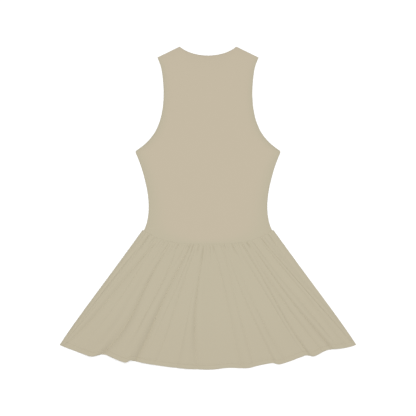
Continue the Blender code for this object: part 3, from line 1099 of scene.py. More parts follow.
BACK_GATHERS = (
    Gather(-160, 0.6, 45), Gather(-149, 0.8, 60), Gather(-138, 1.8, 28), Gather(-130, 1.1, 45),
    Gather(-120, 0.5, 30), Gather(-110, 1.3, 22), Gather(-97, 0.7, 60), Gather(-84, 0.7, 60),
    Gather(-74, 0.7, 30), Gather(-67, 0.6, 22), Gather(-59, 0.7, 40), Gather(-53, 1.0, 22),
    Gather(-46, 1.7, 15), Gather(-37, 1.0, 22), Gather(-30, 0.4, 15), Gather(-23, 1.6, 32),
    Gather(-11, 0.7, 60), Gather(-3.5, 0.5, 50), Gather(4, 0.6, 45), Gather(13, 0.6, 38),
    Gather(22, 0.4, 20), Gather(33, 0.7, 32), Gather(40, 1.6, 20), Gather(49, 0.7, 30),
    Gather(60, 1.1, 38), Gather(67, 0.5, 15), Gather(74, 1.7, 18), Gather(86, 1.0, 45),
    Gather(98, 1.9, 24), Gather(107, 0.6, 20), Gather(113, 0.7, 50), Gather(123, 0.5, 20),
    Gather(134, 0.8, 32), Gather(143, 0.5, 30), Gather(153, 1.0, 45), Gather(160, 0.9, 30),
)

BACK_FOLDS = (
    Fold((-0.887, -0.950, -0.968, -0.985), (1.1, 1.4, 1.5, 1.1), (3.5, 3.5, 4.0, 4.0)),
    Fold((-0.890, -0.912, -0.948, -0.995), (0.0, 0.5, 0.9, 0.5), (1.6, 1.6, 1.8, 2.0)),
    Fold((-0.735, -0.852, -0.900, -0.985), (2.0, 1.8, 2.4, 1.8), (3.5, 5.0, 6.5, 5.0)),
    Fold((-0.765, -0.787, -0.822, -0.870), (0.4, 0.8, 0.8, 0.0), (1.8, 2.0, 2.5, 3.0)),
    Fold((-0.559, -0.630, -0.642, -0.715), (1.3, 2.8, 4.2, 5.6), (3.0, 4.8, 7.8, 13.0)),
    Fold((-0.445, -0.487, -0.548, -0.600), (0.7, 1.2, 1.6, 0.0), (2.5, 3.0, 6.0, 9.0)),
    Fold((-0.260, -0.395, -0.448, -0.490), (1.3, 1.9, 4.0, 5.4), (2.8, 4.6, 7.6, 11.0)),
    Fold((-0.215, -0.322, -0.392, -0.430), (1.1, 0.8, 0.7, 0.0), (2.0, 2.2, 2.0, 2.0)),
    Fold((-0.160, -0.270, -0.315, -0.360), (0.5, 0.9, 1.0, 0.6), (3.0, 3.0, 3.0, 4.0)),
    Fold((-0.055, -0.150, -0.186, -0.215), (0.0, 1.3, 1.8, 1.6), (6.0, 7.0, 8.0, 9.0)),
    Fold((-0.058, -0.110, -0.110, -0.070), (0.4, 2.2, 3.7, 2.6), (2.2, 4.4, 7.6, 12.0)),
    Fold((0.068, 0.165, 0.195, 0.230), (0.6, 1.2, 1.5, 1.7), (2.2, 4.5, 8.0, 9.0)),
    Fold((0.215, 0.258, 0.286, 0.310), (0.7, 0.8, 1.4, 1.5), (3.0, 4.0, 5.0, 6.0)),
    Fold((0.270, 0.332, 0.395, 0.448), (0.4, 0.8, 1.2, 1.5), (2.0, 2.2, 3.0, 4.5)),
    Fold((0.360, 0.400, 0.460, 0.530), (0.0, 0.6, 1.3, 1.0), (3.0, 3.0, 4.0, 5.0)),
    Fold((0.410, 0.540, 0.600, 0.655), (0.6, 0.8, 1.1, 0.8), (2.5, 2.5, 2.8, 3.0)),
    Fold((0.500, 0.598, 0.633, 0.688), (1.2, 1.3, 1.7, 2.3), (2.0, 2.1, 2.6, 5.0)),
    Fold((0.590, 0.648, 0.712, 0.770), (0.5, 1.0, 1.3, 1.3), (3.0, 3.0, 3.5, 5.0)),
    Fold((0.620, 0.714, 0.774, 0.840), (1.0, 1.5, 2.1, 3.2), (2.0, 2.2, 3.0, 7.0)),
    Fold((0.700, 0.765, 0.835, 0.880), (0.4, 0.7, 1.0, 1.0), (3.0, 3.0, 4.0, 5.0)),
    Fold((0.760, 0.845, 0.900, 0.950), (1.0, 1.1, 1.1, 0.6), (2.0, 2.8, 3.5, 4.0)),
    Fold((0.790, 0.883, 0.943, 0.995), (1.1, 1.5, 1.6, 1.2), (1.7, 1.9, 2.2, 2.6)),
    Fold((0.905, 0.945, 0.975, 0.990), (0.5, 0.4, 0.0, 0.0), (3.0, 3.0, 3.0, 3.0)),
)

BACK_CREASES = (
    Crease(0.000, 0.15, -0.025, 0.52, 0.0, 0.15, 3.0),
    Crease(0.087, 0.20, 0.100, 0.46, 0.0, 0.15, 3.0),
    Crease(0.930, 0.06, 0.950, 0.26, 0.0, 0.20, 4.0),
    Crease(-0.655, 0.02, -0.715, 0.22, 0.0, -0.70, 2.6),
    Crease(-0.360, 0.05, -0.460, 0.23, 0.0, -0.70, 2.4),
    Crease(0.370, 0.01, 0.450, 0.26, 0.0, -0.55, 2.6),
    Crease(0.640, 0.30, 0.655, 0.42, 0.0, -0.30, 3.0),
    Crease(0.020, 0.01, 0.022, 0.24, 0.0, -0.40, 2.4),
    Crease(-0.035, 0.01, -0.040, 0.24, 0.0, -0.35, 2.4),
    Crease(0.055, 0.36, 0.060, 0.74, 0.0, -0.40, 5.0),
)

FRONT_CREASES = (
    Crease(-0.62, 0.10, -0.74, 0.62, 0.01, 0.35, 6.0),
    Crease(-0.30, 0.06, -0.42, 0.80, -0.01, 0.40, 7.0),
    Crease(-0.08, 0.12, -0.13, 0.55, 0.00, 0.30, 6.0),
    Crease(0.14, 0.05, 0.21, 0.74, 0.01, 0.38, 7.0),
    Crease(0.37, 0.10, 0.47, 0.60, 0.00, 0.30, 6.0),
    Crease(0.58, 0.04, 0.71, 0.84, -0.01, 0.42, 7.0),
)


@dataclass(frozen=True)
class Skirt:
    """The gathered, flared skirt below the dropped waist: a back and a front panel."""

    cut: Cut
    lie: Lie
    cloth: ClothWall
    # The grid: columns, and rows at distances from the seam and the hem in millimetres
    back_columns: int = 430
    front_columns: int = 289
    fewest_between: int = 6
    crowding: float = 0.8
    least_apart: float = 0.004
    seam_gap: float = 0.005 * MM
    seam_stations: tuple[float, ...] = (
        1.0, 1.7, 2.4, 3.2, 4.1, 5.1, 6.2, 7.5, 9, 10.8, 12.8, 15, 17.5, 20.3, 23.5, 27,
    )
    hem_stations: tuple[float, ...] = (
        1.0, 2.2, 3.6, 5.2, 7, 8.4, 9.2, 9.8, 10.4, 11, 11.6, 12.2, 12.8, 13.4, 14, 14.6, 15.4,
        16.6, 18.4, 21,
    )
    body_from_seam: float = 30 * MM
    body_from_hem: float = 23 * MM
    body_step: float = 7.5 * MM
    usual_length: float = 322 * MM
    column_rims: tuple[float, ...] = (0.0005, 0.0012, 0.0025)
    row_rims: tuple[float, ...] = (0.0005, 0.0012, 0.0022)
    rim_margin: float = 1e-4
    column_spread: float = 1e-7
    # The gathers under the waist seam
    gather_puff: float = 0.6 * MM
    puff_reach: float = 30 * MM
    gather_pinch: float = 1.6
    gather_dip: float = 0.3
    gather_least: float = 0.45 * MM
    gather_share: float = 0.55
    gather_furrow: float = 1.9
    gather_reach: float = 1.7 * MM
    gather_length: float = 0.75
    gather_lean: float = 1.6
    seam_hold: float = 0.85
    seam_hold_reach: float = 3.0 * MM
    # The folds: a furrow, its two flanks, the bank round it and the lip beside it
    fold_start: float = 9.0 * MM
    fold_edge_reach: float = 5 * MM
    fold_depth: float = 1.3
    furrow_power: float = 1.12
    inner_flank: float = 0.85
    outer_flank: float = 1.15
    bank: float = 0.95
    bank_reach: float = 5.0
    lip: float = 0.35
    lip_at: float = 2.2
    lip_reach: float = 2.0
    # The quiet front
    front_gathers: int = 24
    front_gather_rise: float = 0.9 * MM
    front_gather_reach: float = 26 * MM
    # The hem, and the painted shade that darkens the skirt towards it
    hem_rows: tuple[float, ...] = (10.4 * MM, 14.0 * MM)
    hem_groove: float = 0.9 * MM
    hem_groove_shares: tuple[float, ...] = (1.0, 0.4)
    hem_groove_width: float = 1.1 * MM
    hem_roll: float = 1.0 * MM
    hem_roll_reach: float = 1.8 * MM
    # Painted shade: the colour darkens from halfway down towards the hem
    hem_shade_from: float = 0.5
    hem_shade_over: float = 0.4
    # The flat cut
    cut_top_half: float = 232 * MM
    cut_hem_half: float = 415 * MM
    cut_length: float = 356 * MM
    cut_curve_share: float = 0.96

    def back_shares(self, down: Array) -> Array:
        """Shares of the half width whose columns run along the folds, closer near each one.

        Args:
            down: Shares of the length, one for each row.

        Returns:
            A row of shares for each row of the skirt. Between two folds they go by
            t - crowding sin(2 pi t) / (2 pi), and a wider strip has more of them.
        """
        lines = np.stack([through_thirds(fold.at, down) for fold in BACK_FOLDS], axis=-1)
        ends = np.ones_like(down)[:, None]
        lines = np.concatenate((-ends, np.clip(lines, -1, 1), ends), axis=-1)
        steps = np.arange(lines.shape[-1]) * self.least_apart
        lines = np.maximum.accumulate(lines - steps, axis=-1) + steps
        lines = -1 + 2 * (lines + 1) / (lines[:, -1:] + 1)
        widths = np.diff(lines[[0, -1]], axis=-1).mean(axis=0) / 2
        counts = self.fewest_between + (widths * self.back_columns).astype(int)
        strips = []
        for strip, count in enumerate(counts):
            t = np.arange(count) / count
            t = t - self.crowding * np.sin(TAU * t) / TAU
            left, right = lines[:, strip, None], lines[:, strip + 1, None]
            strips.append(left + (right - left) * t)
        shares = np.concatenate((*strips, lines[:, -1:]), axis=-1)
        rims = 2 * np.array(self.column_rims)
        low, high = -1 + rims[-1], 1 - rims[-1]
        inner = np.clip(shares[:, 1:-1], low + self.rim_margin, high - self.rim_margin)
        spread = np.arange(inner.shape[1]) * self.column_spread
        side = np.tile(rims, (len(down), 1))
        return np.concatenate((-ends, side - 1, inner + spread, 1 - side[:, ::-1], ends), axis=-1)

    def grid(self, hem: Hem) -> SkirtGrid:
        """Places of a panel's points.

        Args:
            hem: Which hem the panel ends at. The front stays a little inside the outline.

        Returns:
            Points whose half width goes evenly from the seam's to the hem's, bowed outwards by
            down^3 times (1 - down), and whose drop goes evenly from the seam's to the hem's.
        """
        cut = self.cut
        back = hem is Hem.BACK
        inset = 0.0 if back else cut.front_inset
        body = np.arange(
            self.body_from_seam, self.usual_length - self.body_from_hem, self.body_step
        )
        stations = np.concatenate((
            np.array(self.seam_stations) * MM, body,
            self.usual_length - np.array(self.hem_stations[::-1]) * MM,
        )) / self.usual_length
        rows = with_rims(stations, self.row_rims, self.row_rims)
        if back:
            across = self.back_shares(rows)
            down = np.broadcast_to(rows[:, None], across.shape)
        else:
            even = np.linspace(0, 1, self.front_columns)
            sides = with_rims(even, self.column_rims, self.column_rims)
            down, across = np.meshgrid(rows, 2 * sides - 1, indexing="ij")
        half = cut.skirt_seam_half - inset + (cut.hem_half - cut.skirt_seam_half) * down
        half = half + cut.skirt_side_bow * down**3 * (1 - down)
        x = across * half
        top = cut.seam_edge(across * (cut.skirt_seam_half - inset)) + self.seam_gap
        hem_edge = cut.back_hem if back else cut.front_hem
        whole = hem_edge(across * cut.hem_half) - inset - top
        return SkirtGrid(
            across, down, half, x, top + whole * down, whole * down, whole * (1 - down),
            half - np.abs(x),
        )

    def gathers(self, grid: SkirtGrid) -> Array:
        """Height of the back's gathers.

        Args:
            grid: The panel's places.

        Returns:
            A puff that fades down the skirt, less each valley's depth times its fading and a
            narrow furrow in a wide dip, all held nearly flat at the seam itself. The dip is a
            raised cosine to the power of the pinch. The valleys lean outwards on their way down.
        """
        seam_half = self.cut.skirt_seam_half
        lean = self.gather_lean * grid.across * (1 - np.abs(grid.across)) * grid.down
        across = grid.across - lean
        valleys = [-1.0, *(gather.at * MM / seam_half for gather in BACK_GATHERS), 1.0]
        turns = np.interp(across, valleys, np.arange(len(valleys)))
        height = self.gather_puff * np.exp(-grid.length / self.puff_reach)
        dip = (0.5 + 0.5 * np.cos(TAU * turns)) ** self.gather_pinch
        for number, gather in enumerate(BACK_GATHERS, start=1):
            fading = bump_line(grid.length, self.gather_length * gather.reach * MM)
            s = np.abs(across - valleys[number]) * grid.half / self.gather_reach
            furrow = self.gather_furrow * np.exp(-(s**self.furrow_power))
            own_dip = self.gather_dip * dip * (np.abs(turns - number) < 0.5)
            depth = self.gather_least + self.gather_share * gather.depth * MM
            height = height - depth * fading * (furrow + own_dip)
        return height * (1 - self.seam_hold * np.exp(-grid.length / self.seam_hold_reach))

    def folds(self, grid: SkirtGrid) -> Array:
        """Height of the back's folds.

        Args:
            grid: The panel's places.

        Returns:
            For each fold, with s the distance outwards over its reach, depth times
            (bank e^-(s / bank reach)^2 + lip e^-((s - lip place) / lip reach)^2
            - e^-|s / flank|^power): a furrow in a low bank, steeper on its inner flank and with
            a lip on its outer side. All fade in from the seam.
        """
        height = np.zeros_like(grid.across)
        for fold in BACK_FOLDS:
            depth = self.fold_depth * np.interp(grid.down, THIRDS, fold.depth) * MM
            reach = np.interp(grid.down, THIRDS, fold.reach) * MM
            line = through_thirds(fold.at, grid.down)
            s = (grid.across - line) * grid.half * math.copysign(1, fold.at[1]) / reach
            flank = np.where(s < 0, self.inner_flank, self.outer_flank)
            furrow = np.exp(-(np.abs(s / flank) ** self.furrow_power))
            bank = self.bank * bump_line(s, self.bank_reach)
            lip = self.lip * bump_line(s - self.lip_at, self.lip_reach)
            height += depth * (bank + lip - furrow)
        return height * (1 - np.exp(-grid.length / self.fold_start))

    def hem_grooves(self, grid: SkirtGrid) -> Array:
        """Depth of the two grooves that the hem's stitches press into the cloth."""
        return self.hem_groove * sum(
            share * bump_line(grid.from_hem - row, self.hem_groove_width)
            for row, share in zip(self.hem_rows, self.hem_groove_shares)
        )

    def front_relief(self, grid: SkirtGrid) -> Array:
        """How far the front's gathers and creases stand up from the plane."""
        wave = 0.5 - 0.5 * np.cos(TAU * grid.across * self.front_gathers / 2)
        fade = np.exp(-grid.length / self.front_gather_reach) * self.lie.eased(grid.from_side)
        gathers = self.front_gather_rise * wave * fade
        creases = crease_height(
            FRONT_CREASES, grid.across, grid.down, grid.half, self.usual_length
        )
        return gathers + creases * self.lie.eased(grid.from_side)

    def lower_face(self, hem: Hem, grid: SkirtGrid) -> Array:
        """Height of a panel's lower face, without the grooves of its hem.

        Args:
            hem: Which panel.
            grid: The panel's places.

        Returns:
            The front's relief, or the back's loft, gathers, folds and creases, never lower than
            the front panel's upper face.
        """
        if hem is Hem.FRONT:
            return self.front_relief(grid)
        lie = self.lie
        loft = lie.loft + (lie.hem_loft - lie.loft) * grid.down**lie.loft_curve
        creases = crease_height(
            BACK_CREASES, grid.across, grid.down, grid.half, self.usual_length
        )
        roll = self.hem_roll * np.exp(-grid.from_hem / self.hem_roll_reach)
        relief = self.gathers(grid) + self.folds(grid) + creases - roll
        lower = lie.wall + lie.layer_gap + loft * lie.eased(grid.from_side)
        lower = lower + relief * (1 - np.exp(-grid.from_side / self.fold_edge_reach))
        floor = lie.wall + self.front_relief(grid) + lie.layer_gap
        return np.maximum(lower, floor)

    def cut_places(self, grid: SkirtGrid) -> Array:
        """Places on the flat cut: wider than the skirt lies, because it is gathered."""
        wide = self.cut_top_half + (self.cut_hem_half - self.cut_top_half) * grid.down
        return np.stack((grid.across * wide, grid.length), axis=-1)

    def build(self, hem: Hem) -> bpy.types.Object:
        """One panel of the skirt.

        Args:
            hem: Which panel.

        Returns:
            The panel's closed shell.
        """
        grid = self.grid(hem)
        inward = -1 if hem is Hem.BACK else 1
        lower = self.lower_face(hem, grid) + inward * self.hem_grooves(grid)
        edge = np.minimum(grid.from_side, grid.from_hem)
        # Painted shade: the colour darkens towards the hem
        painted_shade = smoothstep((grid.down - self.hem_shade_from) / self.hem_shade_over)
        return self.cloth.build(
            f"skirt_{hem.value}_cloth", grid.x, self.cut.place_y(grid.drop), lower, edge,
            self.cut_places(grid), painted_shade,
        )

    def dress(self, palette: Palette) -> None:
        """Build and finish both panels."""
        rests_on = {Hem.FRONT: "studio_floor", Hem.BACK: "skirt_front_cloth"}
        for hem, under in rests_on.items():
            panel = self.build(hem)
            node = f"skirt_{hem.value}"
            dress_piece(panel, palette.skirt, "skirt_jersey", Body.DRESS, node)


# Sewing


@dataclass(frozen=True)
class Sewing:
    """Stitches: two rows along each hem, and one along each side of the zip."""

    bodice: Bodice
    skirt: Skirt
    pitch: float = 3.0 * MM
    stitch_length: float = 2.5 * MM
    thread_radius: float = 0.17 * MM
    sunk: float = 0.05 * MM
    columns_skipped: int = 6
    below_neck: float = 4 * MM
    above_seam: float = 2 * MM
    zip_line_points: int = 200
    sides: int = 6
    shape: tuple[tuple[float, float], ...] = (
        (-1.0, 0.35), (-0.8, 0.85), (-0.3, 1.0), (0.3, 1.0), (0.8, 0.85), (1.0, 0.35),
    )

    def stitch_rows(self, name: str, lines: Sequence[Array]) -> bpy.types.Object:
        """Stitches at equal steps along lines.

        Args:
            name: The piece's name.
            lines: For each row, the points that it follows.

        Returns:
            One short rounded roll of thread for each step.
        """
        centres, ways = [], []
        for line in lines:
            steps = np.linalg.norm(np.diff(line, axis=0), axis=1)
            reached = np.concatenate(([0.0], np.cumsum(steps)))
            wanted = np.arange(self.pitch, reached[-1] - self.pitch, self.pitch)
            places = [np.interp(wanted, reached, line[:, axis]) for axis in range(3)]
            centres.append(np.stack(places, axis=-1))
            ways.append(unit(np.gradient(centres[-1], axis=0)))
        centre, along = np.concatenate(centres), np.concatenate(ways)
        across = unit(np.cross(along, (0.0, 0.0, 1.0)))
        up = np.cross(across, along)
        rings = []
        for share, girth in self.shape:
            place = centre + along * share * self.stitch_length / 2
            ring = circle(self.sides, self.thread_radius * girth)
            rings.append(swept_rings(place, across, up, ring))
        points = np.stack(rings, axis=1)[:, ::-1]
        faces = ring_faces(len(centre), len(self.shape), self.sides, Ends.CAPPED)
        return build_mesh(name, points, faces)

    def hem_lines(self, hem: Hem) -> list[Array]:
        """The rows above a hem, on the face that shows.

        Args:
            hem: Which hem.

        Returns:
            For each row, points on the panel's outer face at the row's distance from the edge.
        """
        skirt = self.skirt
        grid = skirt.grid(hem)
        lower = skirt.lower_face(hem, grid)
        slope = np.gradient(lower, axis=1) / np.gradient(grid.x, axis=1)
        thick = skirt.cloth.wall * np.minimum(np.sqrt(1 + slope**2), skirt.cloth.steepest)
        column = np.arange(grid.x.shape[1])
        lines = []
        for row, groove_share in zip(skirt.hem_rows, skirt.hem_groove_shares):
            into_groove = skirt.hem_groove * groove_share + self.sunk
            height = lower + thick - into_groove if hem is Hem.BACK else lower + into_groove
            faces = np.stack((grid.x, skirt.cut.place_y(grid.drop), height), axis=-1)
            below = (grid.from_hem > row).sum(axis=0)
            above = below - 1
            before, after = grid.from_hem[above, column], grid.from_hem[below, column]
            share = ((before - row) / (before - after))[:, None]
            line = faces[above, column] * (1 - share) + faces[below, column] * share
            lines.append(line[self.columns_skipped : -self.columns_skipped])
        return lines

    def zip_lines(self) -> list[Array]:
        """The row beside each edge of the zip's opening, on the front's outer face."""
        bodice = self.bodice
        x = bodice.zip_opening_half + bodice.topstitch_in
        top = bodice.cut.place_y(np.array(bodice.cut.front_neck_drop + self.below_neck))
        bottom = bodice.cut.place_y(np.array(bodice.cut.seam_centre_drop - self.above_seam))
        y = np.linspace(float(top), float(bottom), self.zip_line_points)
        lines = []
        for side in Side:
            across = np.full_like(y, side.value * x)
            height = bodice.lie.raised(across, y) + bodice.groove_depth + self.sunk
            lines.append(np.stack((across, y, height), axis=-1))
        return lines

    def dress(self, palette: Palette) -> None:
        """Build and finish the stitches."""
        rows = {
            "hem_stitches_back": (self.hem_lines(Hem.BACK), "skirt_jersey"),
            "hem_stitches_front": (self.hem_lines(Hem.FRONT), "skirt_jersey"),
            "zip_topstitches": (self.zip_lines(), "bodice_jersey"),
        }
        for name, (lines, slot) in rows.items():
            dress_piece(self.stitch_rows(name, lines), palette.thread, slot, Body.DRESS)


# Zip


class PlateRing(NamedTuple):
    """A ring of a slider plate: its size, then shares of the plate's wall and of the flange."""

    size: float
    rise: float
    flange: float


class TabRing(NamedTuple):
    """A ring of the tab: share of the way from the slot to the edge, and of half the wall."""

    outward: float
    height: float


class StopRing(NamedTuple):
    """A ring of a stop: its size, and its share of the stop's half height."""

    size: float
    height: float


PLATE_RINGS = (
    PlateRing(0.10, 0.0, 0), PlateRing(0.70, 0.0, 0), PlateRing(0.93, 0.0, 0),
    PlateRing(0.985, 0.12, 0), PlateRing(1.0, 0.4, 0), PlateRing(1.0, 0.75, 0.5),
    PlateRing(0.985, 0.95, 0.9), PlateRing(0.94, 1.0, 1), PlateRing(0.88, 1.0, 0.9),
    PlateRing(0.83, 1.0, 0.1), PlateRing(0.70, 1.0, 0), PlateRing(0.10, 1.0, 0),
)

TAB_RINGS = (
    TabRing(0.0, -0.7), TabRing(0.0, 0.7), TabRing(0.03, 0.95), TabRing(0.08, 1.0),
    TabRing(0.25, 1.0), TabRing(0.32, 0.72), TabRing(0.80, 0.72), TabRing(0.86, 1.0),
    TabRing(0.95, 1.0), TabRing(0.99, 0.85), TabRing(1.0, 0.6), TabRing(1.0, -0.6),
    TabRing(0.99, -0.85), TabRing(0.95, -1.0), TabRing(0.86, -1.0), TabRing(0.80, -0.72),
    TabRing(0.32, -0.72), TabRing(0.25, -1.0), TabRing(0.08, -1.0), TabRing(0.03, -0.95),
)

STOP_RINGS = (
    StopRing(0.75, -1.0), StopRing(0.94, -0.85), StopRing(1.0, -0.5), StopRing(1.0, 0.5),
    StopRing(0.94, 0.85), StopRing(0.75, 1.0),
)


@dataclass(frozen=True)
class ZipFastener:
    """The closed coil zip: two tapes, two coils, stops, slider and pull tab."""

    lie: Lie
    top_y: float
    slider_y: float
    bottom_y: float
    tape_inner: float = 2.6 * MM
    tape_outer: float = 14 * MM
    tape_wall: float = 1.0 * MM
    tape_gap: float = 0.4 * MM
    tape_rim_reach: float = 0.4 * MM
    tape_columns: int = 15
    tape_rows: int = 140
    tape_column_rims: tuple[float, ...] = (0.015, 0.04)
    tape_row_rims: tuple[float, ...] = (0.0004, 0.001)
    tape_flat: tuple[float, float] = (0.0114, 0.42)
    coil_pitch: float = 1.3 * MM
    coil_wire: float = 0.2 * MM
    coil_centre: float = 0.86 * MM
    coil_half_width: float = 1.12 * MM
    coil_half_height: float = 0.58 * MM
    coil_points: int = 8
    coil_sides: int = 5
    slider_length: float = 9 * MM
    slider_width: float = 6.8 * MM
    plate_wall: float = 0.8 * MM
    plate_sides: int = 40
    plate_squareness: float = 0.42
    plate_taper: float = 0.10
    flange: float = 0.4 * MM
    flange_slope: float = 2.2
    lower_plate: float = 2.2 * MM
    upper_plate: float = 5.2 * MM
    strap_bottom: float = 0.3 * MM
    strap_width: float = 1.4 * MM
    strap_length: float = 6.4 * MM
    strap_wall: float = 0.6 * MM
    strap_rings: int = 25
    strap_sides: int = 12
    strap_squareness: float = 0.55
    arch_squareness: float = 0.35
    post_width: float = 2.0 * MM
    post_length: float = 1.8 * MM
    post_inset: float = 0.2 * MM
    post_into_plate: float = 0.4 * MM
    post_rings: int = 4
    post_sides: int = 16
    post_squareness: float = 0.6
    tab_length: float = 24.4 * MM
    tab_width: float = 5.0 * MM
    tab_neck_width: float = 3.8 * MM
    tab_neck_length: float = 6.0 * MM
    tab_widens_over: float = 4 * MM
    tab_sides: int = 72
    tab_squareness: float = 0.35
    tab_wall: float = 0.8 * MM
    tab_pivot_z: float = 1.55 * MM
    tab_end: float = 0.4 * MM
    slot_half: float = 1.0 * MM
    slot_start: float = 0.4 * MM
    slot_end: float = 3.8 * MM
    slot_squareness: float = 0.4
    top_stop_x: float = 3.3 * MM
    top_stop_ahead: float = 6.2 * MM
    top_stop_half: tuple[float, float] = (0.7 * MM, 1.3 * MM)
    low_stop_inset: float = 2.2 * MM
    low_stop_half: tuple[float, float] = (2.6 * MM, 1.1 * MM)
    stop_half_height: float = 0.95 * MM
    stop_sides: int = 16
    stop_squareness: float = 0.5

    def build_tape(self, side: Side) -> bpy.types.Object:
        """One tape on the inner face of a front panel's edge.

        Args:
            side: Which side of the zip it is on.

        Returns:
            A shell at the zip's raise plus the panel's wall and the gap.
        """
        even = np.linspace(0, 1, self.tape_columns)
        inner = with_rims(even, self.tape_column_rims, self.tape_column_rims)
        across = self.tape_inner + (self.tape_outer - self.tape_inner) * inner
        down = with_rims(np.linspace(0, 1, self.tape_rows), self.tape_row_rims, self.tape_row_rims)
        y, x = np.meshgrid(self.top_y - (self.top_y - self.bottom_y) * down, across, indexing="ij")
        lower = self.lie.raised(x, y) + self.lie.wall + self.tape_gap
        from_ends = np.minimum(self.top_y - y, y - self.bottom_y)
        edge = np.minimum(np.minimum(x - self.tape_inner, self.tape_outer - x), from_ends)
        order = slice(None, None, side.value)
        wall = ClothWall(wall=self.tape_wall, rim_reach=self.tape_rim_reach)
        return wall.build(
            f"zip_tape_{side.name.lower()}_woven", side.value * x[:, order], y[:, order],
            lower[:, order], edge[:, order], np.stack((x, y), axis=-1)[:, order],
        )

    def build_coils(self) -> bpy.types.Object:
        """Both coils, their turns set half a pitch apart so that they interlock.

        Returns:
            For each side, a round wire along x = side (centre + half width cos t),
            z = half height sin t, y falling by a pitch each turn.
        """
        start = self.slider_y + self.slider_length / 4
        turns = int((start - self.bottom_y) / self.coil_pitch) - 1
        t = np.linspace(0, TAU * turns, turns * self.coil_points + 1)
        middle = self.lie.wall + self.tape_gap + self.tape_wall / 2
        paths = []
        for side, ahead in ((Side.RIGHT, 0.0), (Side.LEFT, 0.5)):
            x = side.value * (self.coil_centre + self.coil_half_width * np.cos(t))
            y = start - self.coil_pitch * (t / TAU + ahead)
            z = middle + self.lie.raised(0 * y, y) + self.coil_half_height * np.sin(t)
            paths.append(np.stack((x, y, z), axis=-1))
        path = np.stack(paths)
        along = unit(np.gradient(path, axis=1))
        across = unit(np.cross(along, (0.0, 1.0, 0.0)))
        up = np.cross(across, along)
        rings = swept_rings(path, across, up, circle(self.coil_sides, self.coil_wire)[::-1])
        faces = ring_faces(2, len(t), self.coil_sides, Ends.CAPPED)
        return build_mesh("zip_coils", rings, faces)

    def plate(self, bottom: float, inward: int) -> Array:
        """Rings of one plate of the slider, from its lower face's middle to its upper's.

        Args:
            bottom: Height of the plate's lower face.
            inward: 1 if the chain is above the plate, and -1 if it is below.

        Returns:
            Rings that shrink to the middle on both faces. The face towards the chain rises to
            a flange along both sides.
        """
        half_x, half_y = self.slider_width / 2, self.slider_length / 2
        outline = oval(self.plate_sides, half_x, half_y, 0.0, self.plate_squareness)
        narrow = 1 - self.plate_taper * (0.5 - outline[:, 1:] / self.slider_length)
        outline = outline * np.concatenate((narrow, np.ones_like(narrow)), axis=1)
        sideways = np.abs(outline[:, 0]) / half_x
        by_side = smoothstep(sideways * self.flange_slope - self.flange_slope / 2)
        rings = []
        for ring in PLATE_RINGS:
            rise = ring.rise * self.plate_wall + ring.flange * self.flange * by_side
            z = bottom + rise if inward > 0 else bottom + self.plate_wall - rise
            rings.append(np.column_stack((outline * ring.size, z)))
        stack = np.stack(rings if inward > 0 else rings[::-1])
        return stack + np.array((0.0, self.slider_y, 0.0))

    def build_slider(self) -> bpy.types.Object:
        """The slider: two flanged plates, the post between them and the arched bridge.

        Returns:
            One object of four closed forms.
        """
        plates = [self.plate(self.lower_plate, 1), self.plate(self.upper_plate, -1)]
        points, faces = [], []

        def add(rings: Array) -> None:
            """Add a capped stack of rings to the slider."""
            start = sum(len(part) for part in points)
            faces.extend(
                [number + start for number in face]
                for face in ring_faces(1, rings.shape[0], rings.shape[1], Ends.CAPPED)
            )
            points.append(rings.reshape(-1, 3))

        for rings in plates:
            add(rings)
        post_y = self.slider_y + (self.slider_length - self.post_length) / 2 - self.post_inset
        half_x, half_y = self.post_width / 2, self.post_length / 2
        foot = oval(self.post_sides, half_x, half_y, post_y, self.post_squareness)
        bottom = self.lower_plate + self.plate_wall / 2
        heights = np.linspace(bottom, self.upper_plate + self.post_into_plate, self.post_rings)
        add(np.stack([np.column_stack((foot, np.full(len(foot), z))) for z in heights]))
        add(self.bridge())
        return build_mesh("zip_slider_body", np.concatenate(points), faces)

    def bridge(self) -> Array:
        """Rings of the bridge under the lower plate.

        Returns:
            A rounded strap along y = half length times cos t to a power, z falling from the
            plate by depth times sin t to a power, so that the arch has a flat bottom.
        """
        t = np.linspace(0, math.pi, self.strap_rings)
        power = self.arch_squareness
        half = self.strap_length / 2 - self.strap_wall / 2
        depth = self.lower_plate + self.plate_wall / 2 - self.strap_bottom - self.strap_wall / 2
        y = self.slider_y + half * np.sign(np.cos(t)) * np.abs(np.cos(t)) ** power
        z = self.lower_plate + self.plate_wall / 2 - depth * np.sin(t) ** power
        path = np.stack((0 * t, y, z), axis=-1)
        along = unit(np.gradient(path, axis=0))
        across = np.tile((1.0, 0.0, 0.0), (len(t), 1))
        up = np.cross(along, across)
        half_x, half_y = self.strap_width / 2, self.strap_wall / 2
        section = oval(self.strap_sides, half_x, half_y, 0.0, self.strap_squareness)
        return swept_rings(path, across, up, section)

    def build_tab(self) -> bpy.types.Object:
        """The pull tab: a bevelled plate with a raised rim, round a slot for the bridge.

        Returns:
            Rings from the slot out over the top, round the edge and back under, joined.
        """
        sides, half_y = self.tab_sides, self.tab_length / 2
        centre_y = self.tab_end - half_y
        outer = oval(sides, 1.0, half_y, centre_y, self.tab_squareness)
        past_neck = -outer[:, 1] - self.tab_neck_length + self.tab_widens_over / 2
        down = smoothstep(past_neck / self.tab_widens_over)
        wide = self.tab_neck_width / 2 + (self.tab_width - self.tab_neck_width) / 2 * down
        outer = oval(sides, wide, half_y, centre_y, self.tab_squareness)
        slot_middle = -(self.slot_start + self.slot_end) / 2
        slot_half_y = (self.slot_end - self.slot_start) / 2
        slot = oval(sides, self.slot_half, slot_half_y, slot_middle, self.slot_squareness)
        rings = []
        for ring in TAB_RINGS:
            flat = slot + (outer - slot) * ring.outward
            z = np.full(sides, ring.height * self.tab_wall / 2)
            rings.append(np.column_stack((flat, z)))
        points = np.stack(rings) + np.array((0.0, self.slider_y, self.tab_pivot_z))
        return build_mesh(
            "zip_pull", points[::-1], ring_faces(1, len(TAB_RINGS), sides, Ends.JOINED)
        )

